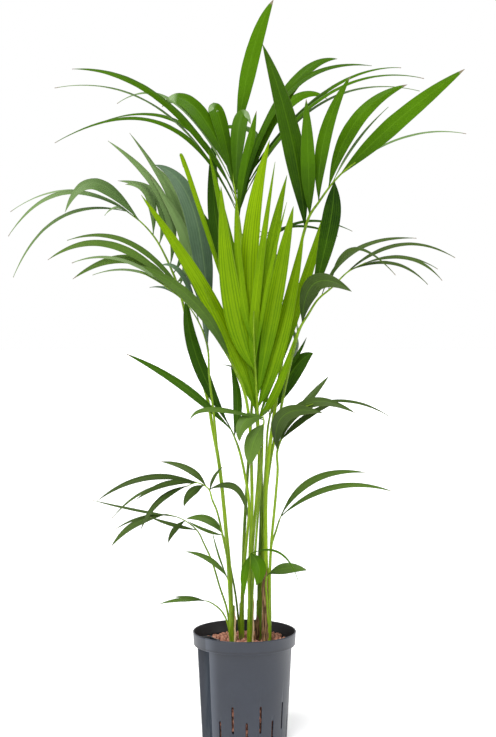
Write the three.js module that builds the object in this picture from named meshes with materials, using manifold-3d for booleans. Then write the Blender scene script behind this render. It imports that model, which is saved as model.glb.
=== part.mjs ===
// A kentia palm in a plastic culture pot filled with clay pebbles.
// Millimetres, +Z up. The origin is the middle of the pot's base, and -Y is the front.
import * as THREE from 'three';
import { mergeVertices } from 'three/addons/utils/BufferGeometryUtils.js';
import Module from 'manifold-3d';

const wasm = await Module();
wasm.setup();

// ---- driving dimensions -------------------------------------------------------------
const pot = {
  rimRadius: 90, height: 190, rimHeight: 23, rimWall: 2.2, rimFlare: 1.5,
  neckRadius: 82.5, footRadius: 74, wall: 2.2, floor: 2.5, chamfer: 3, sides: 40,
};
// The recess at the front left takes a water gauge, and stays empty here.
const recess = { from: -77, to: -47, innerRadius: 61, outerRadius: 84.5, wallTop: 183, sides: 6 };
const slots = {
  count: 20, width: 4, tallFrom: 29, tallTo: 76, lowFrom: 9, lowTo: 49, firstAngle: 3,
};
const bed = {
  level: 171, relief: 4, rings: 10, sectors: 32, clearance: 0.3, pebblePitch: 15, holeDepth: 70,
};
const holeRadius = 10;
const jointGap = 0.3;        // between a stalk's end and the rib of its leaf
const bladeEdge = 0.6;       // thickness of a leaflet at its edge
const bladeRib = 1.1;        // and along its fold
const bladeFold = 0.16;      // how far the edges drop below the fold, in half widths
const longLeaflet = 300;     // leaflets from this length of arch on have one more bend
const slimLeaflet = 14;      // and up to this width they have a plain lens section
const rootHalf = 1.2;        // half the width of a leaflet's root
const tipHalf = 0.8;         // and of its tip
const grain = 0.01;          // no edge is shorter than this
const widestAt = 0.42;       // where a leaflet is widest, along its length

// Each young palm: where its stem stands, its radius, and how high its sheath goes.
const palms = {
  palm_1: { foot: [-21, -8], radius: 6, sheathTop: 235 },
  palm_2: { foot: [-5, 14], radius: 5.5, sheathTop: 235 },
  palm_3: { foot: [9, -11], radius: 5.5, sheathTop: 230 },
  palm_4: { foot: [25, 13], radius: 5.5, sheathTop: 240 },
  palm_5: { foot: [41, -7], radius: 7, sheathTop: 300 },
};

// Each leaf: its palm, the radius of its stalk at the foot and at the blade, the points that
// its stalk and its rib pass through, and its leaflets. A leaflet is
// [where on the rib, tip x, y, z, rise of its arch, where the arch peaks, width, turn],
// and its turn is 0 where the blade lies along Y and 90 where it faces the front.
const leaves = {
  crown: {
    palm: 'palm_4', girth: [3.4, 2.4],
    stalk: [[26, 14, 295], [29, 16, 380], [29, 16, 470], [22, 18, 555], [13, 20, 660], [4, 22, 765],
      [-3, 24, 845]],
    rib: [[-8, 30, 895], [-15, 42, 945], [-20, 62, 990], [-19, 90, 1025], [-14, 124, 1060]],
    leaflets: [
      [0.45, -336, 60, 1044, 103, 0.55, 16, 8], [0.50, -340, 90, 1146, 73, 0.62, 8, 5],
      [0.55, -264, 140, 1092, 73, 0.6, 14, 5], [0.62, -306, 70, 1174, 59, 0.6, 22, 35],
      [0.68, -234, 150, 1128, 63, 0.85, 12, 0], [0.72, -152, 190, 1128, 54, 1.0, 26, 55],
      [0.82, -74, 250, 1098, 70, 0.45, 28, 40], [0.78, 4, 100, 1072, 38, 0.5, 24, 60],
      [0.70, 32, 90, 1058, 42, 0.5, 22, 60], [1.00, 52, 110, 1308, 12, 0.7, 30, 75],
      [0.50, 222, 45, 1174, 80, 0.7, 22, 60], [0.55, 312, 20, 1150, 72, 0.66, 18, 25],
      [0.62, 280, 90, 1182, 49, 0.7, 14, 15], [0.50, 316, 110, 1144, 79, 0.62, 10, 5],
      [0.70, 152, 160, 1138, 42, 0.95, 20, 40],
    ],
  },
  left_high: {
    palm: 'palm_1', girth: [3.8, 2.4],
    stalk: [[-25, -8, 260], [-30, -6, 340], [-36, -4, 410], [-44, 2, 480], [-55, 8, 540],
      [-65, 14, 595], [-81, 20, 645], [-96, 28, 695], [-106, 36, 750]],
    rib: [[-119, 44, 795], [-136, 56, 835], [-158, 72, 875], [-184, 90, 905], [-216, 110, 930]],
    leaflets: [
      [1.00, -426, 150, 810, 52, 0.45, 14, 35], [0.97, -426, 100, 882, 59, 0.5, 16, 35],
      [0.95, -434, 170, 932, 42, 0.5, 7, 35], [0.85, -318, 60, 922, 57, 0.79, 30, 50],
      [0.92, -336, 150, 970, 14, 0.5, 8, 35], [0.35, -242, 60, 1048, 42, 0.4, 20, 60],
      [0.28, -206, 90, 1066, 40, 0.2, 18, 60], [0.10, -129, 70, 983, 29, 0.2, 15, 65],
      [0.20, -167, 52, 986, 35, 0.1, 26, 60], [0.15, -160, 95, 1008, 38, 0.5, 24, 55],
      [0.55, -230, 120, 984, 45, 0.53, 24, 50], [0.65, -212, 70, 972, 28, 0.8, 20, 50],
      [0.95, -248, 60, 916, 14, 0.5, 8, 40],
    ],
  },
  left_mid: {
    palm: 'palm_3', girth: [3.4, 2.4],
    stalk: [[9, -14, 265], [10, -18, 340], [13, -22, 410], [12, -28, 480], [10, -34, 540],
      [3, -40, 595], [-8, -46, 630]],
    rib: [[-31, -56, 675], [-61, -70, 720], [-97, -90, 760], [-136, -108, 790], [-171, -124, 810]],
    leaflets: [
      [0.55, -296, -80, 863, 47, 0.65, 15, 40], [0.62, -318, -150, 827, 54, 0.66, 17, 50],
      [0.70, -274, -190, 820, 28, 0.62, 10, 35], [0.66, -282, -120, 797, 48, 0.5, 19, 60],
      [0.60, -256, -60, 806, 28, 0.55, 9, 35], [0.12, -188, -135, 822, 29, 0.57, 22, 65],
    ],
  },
  left_inner: {
    palm: 'palm_1', girth: [2.6, 1.8],
    stalk: [[-23, -14, 270], [-30, -20, 360], [-39, -26, 440], [-47, -30, 510], [-53, -34, 575],
      [-60, -38, 635], [-62, -42, 680]],
    rib: [[-70, -44, 710], [-82, -48, 735], [-95, -54, 755]],
    leaflets: [
      [0.05, -156, 30, 1002, 42, 0.85, 40, 65], [0.10, -72, -62, 738, 3, 0.5, 8, 50],
      [0.30, -100, -30, 806, 14, 0.6, 16, 60],
      [0.55, -146, -15, 824, 24, 0.9, 14, 40], [0.90, -162, -30, 786, 14, 0.6, 10, 35],
    ],
  },
  left_low: {
    palm: 'palm_2', girth: [2.8, 2.2],
    stalk: [[-4, 10, 260], [3, 4, 340], [8, 0, 410], [1, -4, 460], [-9, -8, 505]],
    rib: [[-18, -12, 530], [-27, -16, 550]],
    leaflets: [
      [0.80, -200, -70, 674, 12, 0.5, 15, 70], [1.00, -100, 10, 774, -17, 0.65, 24, 80],
      [0.50, -24, 20, 652, 9, 0.5, 16, 80],
    ],
  },
  right_low: {
    palm: 'palm_5', girth: [2.8, 2],
    stalk: [[43, -12, 265], [46, -18, 340], [53, -26, 420], [57, -32, 475], [56, -36, 505]],
    rib: [[66, -42, 535], [77, -52, 560], [94, -66, 580], [115, -84, 590]],
    leaflets: [
      [0.00, 128, -130, 578, 38, 0.5, 30, 60], [0.10, 184, -105, 576, 45, 0.53, 22, 55],
      [0.90, 244, -60, 568, 17, 0.5, 8, 35], [0.50, 144, -30, 634, 0, 0.5, 13, 75],
      [0.55, 116, 10, 606, -5, 0.5, 7, 60], [0.15, 160, -70, 594, 10, 0.5, 16, 40],
    ],
  },
  front_low: {
    palm: 'palm_3', girth: [2.4, 1.8],
    stalk: [[15, -26, 285], [20, -40, 355], [25, -52, 425], [30, -60, 495], [31, -64, 545]],
    rib: [[33, -68, 560], [31, -70, 570]],
    leaflets: [
      [0.60, -90, -110, 565, 18, 0.9, 12, 45], [0.80, -8, -95, 528, 17, 0.5, 24, 75],
      [0.30, 10, -85, 486, 7, 0.5, 30, 85], [1.00, 42, -60, 578, 2, 0.5, 6, 70],
    ],
  },
  back_low: {
    palm: 'palm_5', girth: [2.8, 2],
    stalk: [[39, 12, 260], [35, 27, 340], [34, 30, 415], [38, 32, 485], [41, 34, 540]],
    rib: [[48, 38, 575], [59, 44, 610], [70, 52, 645]],
    leaflets: [
      [0.20, 122, 60, 672, 12, 0.8, 34, 75], [0.50, 84, 90, 660, 3, 0.5, 14, 75],
      [0.90, 110, 60, 700, -3, 0.5, 8, 60], [0.45, 10, 200, 690, 35, 0.5, 20, 30],
      [1.00, 66, 215, 740, 28, 0.5, 18, 30], [0.15, -40, 130, 650, 28, 0.5, 16, 30],
    ],
  },
  young: {
    palm: 'palm_3', girth: [3.2, 2.4],
    stalk: [[11, -6, 270], [14, -2, 340], [20, -2, 410], [25, -6, 480], [24, -14, 540], [22, -22, 585]],
    rib: [[20, -28, 620], [18, -36, 660], [16, -46, 705], [16, -58, 745]],
    leaflets: [
      [0.06, -174, -60, 941, 20, 0.4, 30, 75], [0.35, -105, -20, 992, 5, 1.3, 10, 60],
      [0.48, -62, -5, 1022, 2, 0.4, 20, 80], [0.52, -39, -80, 953, -17, 0.25, 36, 85],
      [0.78, -14, -60, 941, -10, 0.34, 16, 85], [0.66, 43, -35, 1036, 21, 0.52, 31, 85],
      [0.56, 51, -96, 992, 10, 0.1, 17, 80], [0.36, 73, -15, 979, 10, 0.49, 26, 80],
      [0.60, 70, -110, 924, 5, 0.5, 8, 70], [0.24, 82, -78, 920, 2, 0.6, 28, 85],
      [0.14, 101, -50, 883, -8, 0.3, 28, 85], [0.02, 151, -10, 951, -3, 0.59, 20, 80],
      [0.04, 93, -35, 720, -10, 0.2, 15, 80], [0.10, -69, -42, 790, 2, 0.4, 24, 75],
      [0.18, -16, -30, 860, 3, 0.4, 26, 80],
    ],
  },
  right_high: {
    palm: 'palm_5', girth: [3.8, 2.6],
    stalk: [[39, -2, 260], [37, 0, 340], [37, 2, 420], [41, 4, 485], [50, 6, 555], [60, 8, 625],
      [70, 10, 695], [80, 8, 765], [91, 2, 830], [102, -10, 880]],
    rib: [[112, -24, 910], [126, -42, 930], [144, -62, 955], [163, -84, 975], [183, -104, 990]],
    leaflets: [
      [0.03, 30, -120, 1180, 12, 0.5, 36, 85], [0.18, 100, -150, 1086, 0, 0.5, 25, 85],
      [0.40, 172, -140, 1124, 17, 0.55, 23, 80], [0.58, 270, -90, 1120, 31, 0.6, 26, 75],
      [0.64, 242, -60, 1088, 9, 0.5, 8, 35], [0.75, 352, -172, 1130, 7, 0.55, 31, 75],
      [0.90, 376, -40, 1046, 24, 0.55, 8, 35], [0.68, 116, -40, 768, -6, 0.3, 32, 80],
    ],
  },
  right_mid: {
    palm: 'palm_4', girth: [3.2, 2.2],
    stalk: [[29, 12, 260], [33, 14, 340], [37, 15, 420], [46, 12, 490], [60, 0, 560], [71, -14, 620],
      [81, -28, 665], [94, -42, 715]],
    rib: [[108, -54, 740], [124, -64, 765], [147, -76, 785], [172, -90, 810], [201, -102, 825]],
    leaflets: [
      [0.05, 174, -150, 776, 44, 0.65, 34, 62], [0.45, 290, -60, 868, 37, 0.45, 14, 35],
      [0.55, 244, -160, 802, 58, 0.45, 12, 35], [0.75, 346, -120, 832, 37, 0.55, 12, 35],
      [0.85, 292, -190, 786, 24, 0.5, 11, 35], [0.97, 322, -140, 794, 26, 0.55, 12, 35],
      [1.00, 326, -60, 816, 17, 0.5, 7, 35],
    ],
  },
  knee_left: {
    palm: 'palm_1', girth: [2.2, 1.6],
    stalk: [[-23, -16, 245], [-28, -26, 310], [-37, -36, 360], [-47, -44, 405], [-55, -48, 425]],
    rib: [[-60, -50, 442], [-69, -54, 450], [-82, -60, 455], [-97, -66, 450]],
    leaflets: [
      [0.40, -144, -30, 488, 12, 0.4, 14, 50], [0.70, -246, -90, 428, 24, 0.5, 13, 45],
      [0.75, -178, -120, 434, 12, 0.5, 12, 50], [0.85, -222, -100, 398, 21, 0.5, 8, 35],
      [1.00, -170, -130, 386, 14, 0.5, 13, 50], [0.50, -100, -115, 422, 7, 0.5, 16, 60],
      [0.25, 6, -95, 398, 30, 0.4, 16, 40], [0.20, -36, -52, 482, 5, 0.5, 7, 50],
    ],
  },
  knee_back: {
    palm: 'palm_1', girth: [2, 1.5],
    stalk: [[-30, -4, 225], [-43, 2, 265], [-57, 8, 310], [-71, 12, 340]],
    rib: [[-81, 14, 360], [-97, 16, 375], [-117, 20, 385], [-138, 24, 390]],
    leaflets: [
      [1.00, -236, 40, 330, 14, 0.5, 14, 60], [0.95, -232, 70, 356, 9, 0.5, 8, 30],
      [0.80, -268, 30, 414, -2, 0.5, 8, 30], [0.60, -132, -20, 346, 5, 0.5, 11, 60],
      [0.30, -164, 0, 388, -2, 0.5, 10, 40],
    ],
  },
  stub_left: {
    palm: 'palm_2', girth: [2, 1.6],
    stalk: [[-15, 12, 245], [-24, 16, 295], [-31, 20, 335]],
    rib: [[-38, 24, 355]],
    leaflets: [[1.00, -104, 50, 378, 14, 0.5, 17, 50], [0.90, -98, 5, 380, -3, 0.5, 8, 40]],
  },
  ankle_left: {
    palm: 'palm_1', girth: [2, 1.6],
    stalk: [[-22, -18, 230], [-25, -26, 255], [-27, -32, 280]],
    rib: [[-30, -34, 290]],
    leaflets: [[1.00, -100, -60, 338, 10, 0.5, 11, 50], [0.80, -56, -20, 368, -2, 0.5, 5, 40]],
  },
  foot_left: {
    palm: 'palm_1', girth: [1.8, 1.4],
    stalk: [[-29, 0, 200], [-39, 10, 220], [-52, 20, 230]],
    rib: [[-66, 30, 235], [-73, 34, 235]],
    leaflets: [[1.00, -152, 60, 224, 5, 0.5, 10, 35], [0.90, -124, 10, 246, 3, 0.5, 8, 35]],
  },
  split_right: {
    palm: 'palm_5', girth: [2.2, 1.6],
    stalk: [[43, 6, 240], [45, 18, 290], [48, 28, 335], [56, 36, 360], [61, 42, 375]],
    rib: [[65, 46, 385]],
    leaflets: [[1.00, 220, 110, 454, 31, 0.45, 14, 65], [0.80, 266, 70, 424, 31, 0.5, 12, 55]],
  },
  ankle_right: {
    palm: 'palm_5', girth: [2, 1.6],
    stalk: [[39, -16, 245], [37, -24, 275], [39, -28, 290]],
    rib: [[42, -30, 295]],
    leaflets: [[0.80, 106, -60, 306, 7, 0.5, 19, 70]],
  },
  ankle_front: {
    palm: 'palm_3', girth: [2, 1.6],
    stalk: [[8, -28, 250], [6, -44, 305], [8, -52, 325]],
    rib: [[10, -54, 335]],
    leaflets: [
      [0.90, 20, -90, 286, 10, 0.5, 26, 80], [0.80, 90, -90, 294, 26, 0.45, 6, 35],
      [0.50, 0, -74, 266, 5, 0.5, 14, 70],
    ],
  },
  back_high: {
    palm: 'palm_2', girth: [3.2, 2.2],
    stalk: [[-3, 22, 265], [-1, 30, 345], [3, 38, 420], [8, 46, 500], [13, 54, 580], [17, 64, 660],
      [17, 76, 730]],
    rib: [[17, 92, 775], [19, 116, 820], [23, 148, 865], [28, 186, 900]],
    leaflets: [
      [0.70, 202, 200, 898, 38, 0.5, 12, 35], [0.90, 178, 250, 892, 21, 0.5, 10, 35],
      [0.30, -54, 150, 1090, -40, 0.2, 30, 80], [0.10, -150, 160, 1000, 11, 0.85, 26, 65],
      [0.50, -36, 250, 800, 38, 0.5, 22, 20], [0.60, 60, 270, 800, 38, 0.5, 22, 20],
      [0.80, -18, 310, 854, 31, 0.5, 20, 20], [1.00, 34, 340, 848, 28, 0.5, 18, 20],
      [0.20, 100, 230, 700, 35, 0.5, 20, 20], [0.35, -16, 220, 704, 35, 0.5, 20, 20],
    ],
  },
};

// ---- helpers ------------------------------------------------------------------------
const degrees = Math.PI / 180;
const vector = (point) => new THREE.Vector3(...point);

function toSolid(geometry) {
  const plain = geometry.clone();
  plain.deleteAttribute('normal');
  plain.deleteAttribute('uv');
  const merged = mergeVertices(plain, 1e-4);
  return new wasm.Manifold(new wasm.Mesh({
    numProp: 3,
    vertProperties: new Float32Array(merged.attributes.position.array),
    triVerts: new Uint32Array(merged.index.array),
  }));
}

// Corners are kept to a fine grain, and the slivers that vanish with it are left out.
function toGeometry(solid) {
  const mesh = solid.getMesh();
  const corners = mesh.vertProperties.map((value) => Math.round(value / grain) * grain);
  const raw = new THREE.BufferGeometry();
  raw.setAttribute('position', new THREE.BufferAttribute(corners, 3));
  raw.setIndex(new THREE.BufferAttribute(mesh.triVerts, 1));
  const geometry = mergeVertices(raw, grain / 10);
  const index = geometry.index.array;
  const faces = new Map();
  for (let i = 0; i < index.length; i += 3) {
    const face = [index[i], index[i + 1], index[i + 2]];
    const key = [...face].sort((a, b) => a - b).join();
    if (new Set(face).size === 3 && !faces.delete(key)) {
      faces.set(key, face);
    }
  }
  geometry.setIndex([...faces.values()].flat());
  geometry.computeVertexNormals();
  return geometry;
}

// Joins overlapping solids, without the specks and sealed hollows that crossing blades leave.
function fuse(parts) {
  const bodies = wasm.Manifold.union(parts).decompose();
  return bodies.reduce((largest, body) => (body.volume() > largest.volume() ? body : largest));
}

// A closed skin over rings of points, all with the same count and going round the same way.
// The second half of each ring is split the other way round, so that both faces of a thin
// blade are split alike.
function skin(rings) {
  const count = rings[0].length;
  const position = rings.flat().flatMap((p) => [p.x, p.y, p.z]);
  const index = [];
  for (let r = 0; r < rings.length - 1; r += 1) {
    for (let i = 0; i < count; i += 1) {
      const a = r * count + i;
      const b = r * count + (i + 1) % count;
      if (i < count / 2) {
        index.push(a, b, a + count, b, b + count, a + count);
      } else {
        index.push(a, b, b + count, a, b + count, a + count);
      }
    }
  }
  const last = (rings.length - 1) * count;
  for (let i = 1; i < count - 1; i += 1) {
    index.push(0, i + 1, i, last, last + i, last + i + 1);
  }
  const geometry = new THREE.BufferGeometry();
  geometry.setAttribute('position', new THREE.Float32BufferAttribute(position, 3));
  geometry.setIndex(index);
  return geometry;
}

// A round stalk along a curve between two of its parameters, with a radius at each end.
function tube(curve, from, to, steps, sides, radii) {
  const rings = [];
  for (let s = 0; s <= steps; s += 1) {
    const along = s / steps;
    const u = THREE.MathUtils.lerp(from, to, along);
    const centre = curve.getPoint(u);
    const tangent = curve.getTangent(u);
    const across = new THREE.Vector3(0, 1, 0).addScaledVector(tangent, -tangent.y).normalize();
    const side = new THREE.Vector3().crossVectors(tangent, across);
    const radius = THREE.MathUtils.lerp(radii[0], radii[1], along);
    const ring = [];
    for (let i = 0; i < sides; i += 1) {
      const angle = 2 * Math.PI * i / sides;
      ring.push(centre.clone()
        .addScaledVector(across, radius * Math.cos(angle))
        .addScaledVector(side, radius * Math.sin(angle)));
    }
    rings.push(ring);
  }
  return skin(rings);
}

// ---- pot ----------------------------------------------------------------------------
function lathe(profile) {
  const geometry = new THREE.LatheGeometry(profile.map(([r, z]) => new THREE.Vector2(r, z)), pot.sides);
  return toSolid(geometry.rotateX(Math.PI / 2));
}

const neckHeight = pot.height - pot.rimHeight;
const bodyRadius = (z) => THREE.MathUtils.lerp(pot.footRadius, pot.neckRadius, z / neckHeight);

// A standing sector of a ring between two angles, measured from the front to the right.
function sector(fromAngle, toAngle, innerRadius, outerRadius, bottom, top) {
  const spread = toAngle - fromAngle;
  const rings = [bottom, top].map((z) => {
    const ring = [];
    for (let i = 0; i <= recess.sides; i += 1) {
      const angle = (fromAngle + spread * i / recess.sides) * degrees;
      ring.push(new THREE.Vector3(outerRadius * Math.sin(angle), -outerRadius * Math.cos(angle), z));
    }
    for (let i = recess.sides; i >= 0; i -= 1) {
      const angle = (fromAngle + spread * i / recess.sides) * degrees;
      ring.push(new THREE.Vector3(innerRadius * Math.sin(angle), -innerRadius * Math.cos(angle), z));
    }
    return ring;
  });
  return ringPrism(rings);
}

// A prism between two rings whose outline isn't convex, capped by strips across it.
function ringPrism(rings) {
  const count = rings[0].length;
  const position = rings.flat().flatMap((p) => [p.x, p.y, p.z]);
  const index = [];
  for (let i = 0; i < count; i += 1) {
    const next = (i + 1) % count;
    index.push(i, next, i + count, next, next + count, i + count);
  }
  for (let i = 0; i < count / 2 - 1; i += 1) {
    const far = count - 1 - i;
    index.push(i, far, i + 1, far, far - 1, i + 1);
    index.push(count + i, count + i + 1, count + far, count + far, count + i + 1, count + far - 1);
  }
  const geometry = new THREE.BufferGeometry();
  geometry.setAttribute('position', new THREE.Float32BufferAttribute(position, 3));
  geometry.setIndex(index);
  return toSolid(geometry);
}

function recessSpace(margin, bottom, top) {
  const turn = margin / recess.innerRadius / degrees;
  return sector(recess.from - turn, recess.to + turn, recess.innerRadius - margin, recess.outerRadius,
    bottom, top);
}

function slotCutter(index) {
  const tall = index % 2 === 1;
  const [bottom, top] = tall ? [slots.tallFrom, slots.tallTo] : [slots.lowFrom, slots.lowTo];
  const angle = (slots.firstAngle + 360 / slots.count * index) * degrees;
  const reach = 3 * pot.wall;
  const box = new THREE.BoxGeometry(slots.width, reach, top - bottom);
  box.translate(0, -bodyRadius((bottom + top) / 2) + pot.wall / 2, (bottom + top) / 2);
  return toSolid(box.rotateZ(angle));
}

function makePot() {
  const ledge = neckHeight + pot.wall;
  const outside = [[0, 0], [pot.footRadius - pot.chamfer, 0], [pot.footRadius, pot.chamfer],
    [pot.neckRadius, neckHeight], [pot.rimRadius - pot.rimFlare, neckHeight], [pot.rimRadius, pot.height]];
  const inside = [[pot.rimRadius - pot.rimWall, pot.height],
    [pot.rimRadius - pot.rimFlare - pot.rimWall, ledge + 1], [pot.neckRadius - pot.wall, ledge],
    [pot.footRadius - pot.wall, pot.floor], [0, pot.floor]];
  const shell = lathe([...outside, ...inside]);
  const full = lathe([...outside, [0, pot.height]]);
  const guide = recessSpace(pot.wall, 0, recess.wallTop).intersect(full);
  let body = shell.add(guide).subtract(recessSpace(0, -1, pot.height + 1));
  for (let i = 0; i < slots.count; i += 1) {
    body = body.subtract(slotCutter(i));
  }
  return body;
}

// ---- clay pebbles -------------------------------------------------------------------
// The top of the bed rises and falls like packed pebbles, larger than life.
function bedHeight(x, y) {
  const row = Math.round(y / bed.pebblePitch);
  const shift = row % 2 === 0 ? 0 : bed.pebblePitch / 2;
  const dx = (x - shift) / bed.pebblePitch - Math.round((x - shift) / bed.pebblePitch);
  const dy = y / bed.pebblePitch - row;
  const dome = Math.max(0, 1 - 4 * (dx * dx + dy * dy));
  return bed.level + bed.relief * (dome - 0.5);
}

function makeBed() {
  const bottom = pot.floor + bed.clearance;
  const wallGap = pot.wall + bed.clearance + 0.15;
  const topRadius = bodyRadius(bed.level) - wallGap - 0.4;
  const bottomRadius = bodyRadius(bottom) - wallGap;
  const position = [0, 0, bedHeight(0, 0)];
  const index = [];
  for (let r = 1; r <= bed.rings; r += 1) {
    for (let s = 0; s < bed.sectors; s += 1) {
      const angle = 2 * Math.PI * (s + r % 2 / 2) / bed.sectors;
      const radius = topRadius * r / bed.rings;
      const x = radius * Math.cos(angle);
      const y = radius * Math.sin(angle);
      position.push(x, y, r === bed.rings ? bed.level - bed.relief : bedHeight(x, y));
    }
  }
  for (let s = 0; s < bed.sectors; s += 1) {
    const angle = 2 * Math.PI * (s + bed.rings % 2 / 2) / bed.sectors;
    position.push(bottomRadius * Math.cos(angle), bottomRadius * Math.sin(angle), bottom);
  }
  position.push(0, 0, bottom);
  const at = (r, s) => 1 + (r - 1) * bed.sectors + (s + bed.sectors) % bed.sectors;
  for (let s = 0; s < bed.sectors; s += 1) {
    index.push(0, at(1, s), at(1, s + 1));
    for (let r = 1; r < bed.rings; r += 1) {
      const shift = r % 2;
      index.push(at(r, s), at(r + 1, s + shift), at(r, s + 1));
      index.push(at(r + 1, s + shift), at(r + 1, s + shift + 1), at(r, s + 1));
    }
    const skirt = at(bed.rings + 1, 0);
    const low = skirt + s;
    const nextLow = skirt + (s + 1) % bed.sectors;
    index.push(at(bed.rings, s), low, at(bed.rings, s + 1), low, nextLow, at(bed.rings, s + 1));
    index.push(skirt + bed.sectors, nextLow, low);
  }
  const geometry = new THREE.BufferGeometry();
  geometry.setAttribute('position', new THREE.Float32BufferAttribute(position, 3));
  geometry.setIndex(index);
  let solid = toSolid(geometry).subtract(recessSpace(pot.wall + bed.clearance, -1, pot.height));
  for (const palm of Object.values(palms)) {
    const hole = new THREE.CylinderGeometry(holeRadius, holeRadius, 2 * bed.holeDepth, 14);
    hole.rotateX(Math.PI / 2).translate(palm.foot[0], palm.foot[1], bed.level);
    solid = solid.subtract(toSolid(hole));
  }
  return solid;
}

// ---- palms --------------------------------------------------------------------------
function leafCurve(leaf) {
  const [x, y] = palms[leaf.palm].foot;
  const points = [[x, y, bed.level - 30], ...leaf.stalk, ...leaf.rib];
  return new THREE.CatmullRomCurve3(points.map(vector), false, 'centripetal');
}

const stalkSpans = (leaf) => leaf.stalk.length;
const stalkEnd = (leaf) => stalkSpans(leaf) / (stalkSpans(leaf) + leaf.rib.length);

function makeStalks(name) {
  const palm = palms[name];
  const [x, y] = palm.foot;
  const root = new THREE.LineCurve3(
    new THREE.Vector3(x, y, bed.level - bed.holeDepth + bed.clearance),
    new THREE.Vector3(x, y, palm.sheathTop),
  );
  const parts = [toSolid(tube(root, 0, 1, 2, 10, [palm.radius, palm.radius * 0.75]))];
  for (const leaf of Object.values(leaves)) {
    if (leaf.palm === name) {
      parts.push(toSolid(tube(leafCurve(leaf), 0, stalkEnd(leaf), stalkSpans(leaf), 6, leaf.girth)));
    }
  }
  return fuse(parts);
}

function bladeWidth(u) {
  if (u < widestAt) {
    return Math.sin(Math.PI / 2 * u / widestAt);
  }
  return Math.cos(Math.PI / 2 * (u - widestAt) / (1 - widestAt)) ** 0.8;
}

// One leaflet: an arched blade folded along its middle, from its root on the rib to its tip.
function makeLeaflet(curve, start, leaflet) {
  const [along, tipX, tipY, tipZ, rise, peak, width, turn] = leaflet;
  const root = curve.getPoint(THREE.MathUtils.lerp(start, 1, 0.02 + 0.96 * along));
  const tip = new THREE.Vector3(tipX, tipY, tipZ);
  const chord = tip.clone().sub(root);
  const span = Math.hypot(chord.x, chord.z);
  const lean = Math.sign(chord.x) || 1;
  const up = new THREE.Vector3(-chord.z / span * lean, 0, chord.x / span * lean);
  const knee = root.clone().addScaledVector(chord, peak).addScaledVector(up, 2 * rise);
  const spine = new THREE.QuadraticBezierCurve3(root, knee, tip);
  const arch = knee.distanceTo(root) + knee.distanceTo(tip);
  const steps = arch < longLeaflet ? 3 : 4;
  const rings = [];
  for (let s = 0; s <= steps; s += 1) {
    const u = (s / steps) ** 1.1;
    const tangent = spine.getTangent(u);
    const back = new THREE.Vector3(0, 1, 0).addScaledVector(tangent, -tangent.y).normalize();
    const normal = new THREE.Vector3().crossVectors(tangent, back)
      .multiplyScalar(lean * Math.cos(turn * degrees))
      .addScaledVector(back, -Math.sin(turn * degrees));
    const across = new THREE.Vector3().crossVectors(normal, tangent);
    const half = Math.max(u < widestAt ? rootHalf : tipHalf, width / 2 * bladeWidth(u));
    const centre = spine.getPoint(u);
    const place = (side, height) => centre.clone()
      .addScaledVector(across, side * half)
      .addScaledVector(normal, height - Math.abs(side) * bladeFold * half);
    rings.push(width > slimLeaflet ? [
      place(-1, -bladeEdge / 2), place(0, -bladeRib / 2), place(1, -bladeEdge / 2),
      place(1, bladeEdge / 2), place(0, bladeRib / 2), place(-1, bladeEdge / 2),
    ] : [place(-1, 0), place(0, -bladeRib * 0.7), place(1, 0), place(0, bladeRib * 0.7)]);
  }
  return toSolid(skin(rings));
}

function makeBlade(leaf) {
  const curve = leafCurve(leaf);
  const start = stalkEnd(leaf) + jointGap / curve.getLength();
  const tipRadius = 0.45 * leaf.girth[1];
  const rib = tube(curve, start, 1, Math.max(2, leaf.rib.length), 5, [leaf.girth[1], tipRadius]);
  const parts = [toSolid(rib)];
  for (const leaflet of leaf.leaflets) {
    parts.push(makeLeaflet(curve, start, leaflet));
  }
  return fuse(parts);
}

// ---- colours and assembly -----------------------------------------------------------
const potPlastic = new THREE.MeshStandardMaterial({ color: 0x585c66, roughness: 0.45, metalness: 0 });
const clay = new THREE.MeshStandardMaterial({ color: 0xb0705a, roughness: 0.95, metalness: 0 });
const stalkGreen = new THREE.MeshStandardMaterial({ color: 0x7d9a22, roughness: 0.5, metalness: 0 });
const leafGreen = new THREE.MeshStandardMaterial({ color: 0x4f7a2a, roughness: 0.4, metalness: 0 });
const youngGreen = new THREE.MeshStandardMaterial({ color: 0x8fb010, roughness: 0.4, metalness: 0 });

const plant = new THREE.Group();

function addPiece(name, solid, material) {
  const mesh = new THREE.Mesh(toGeometry(solid), material);
  mesh.name = name;
  plant.add(mesh);
}

addPiece('culture_pot', makePot(), potPlastic);
addPiece('clay_pebbles', makeBed(), clay);
for (const name of Object.keys(palms)) {
  addPiece(`${name}_stalks`, makeStalks(name), stalkGreen);
}
for (const [name, leaf] of Object.entries(leaves)) {
  addPiece(`leaf_${name}`, makeBlade(leaf), name === 'young' ? youngGreen : leafGreen);
}

export default plant;
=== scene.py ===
# A kentia palm in a plastic culture pot filled with clay pebbles, as in the photo.
# Metres, +Z up. The origin is the middle of the pot's base, and -Y is the front.
import math
import random

import bmesh
import bpy
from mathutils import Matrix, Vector, noise


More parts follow.
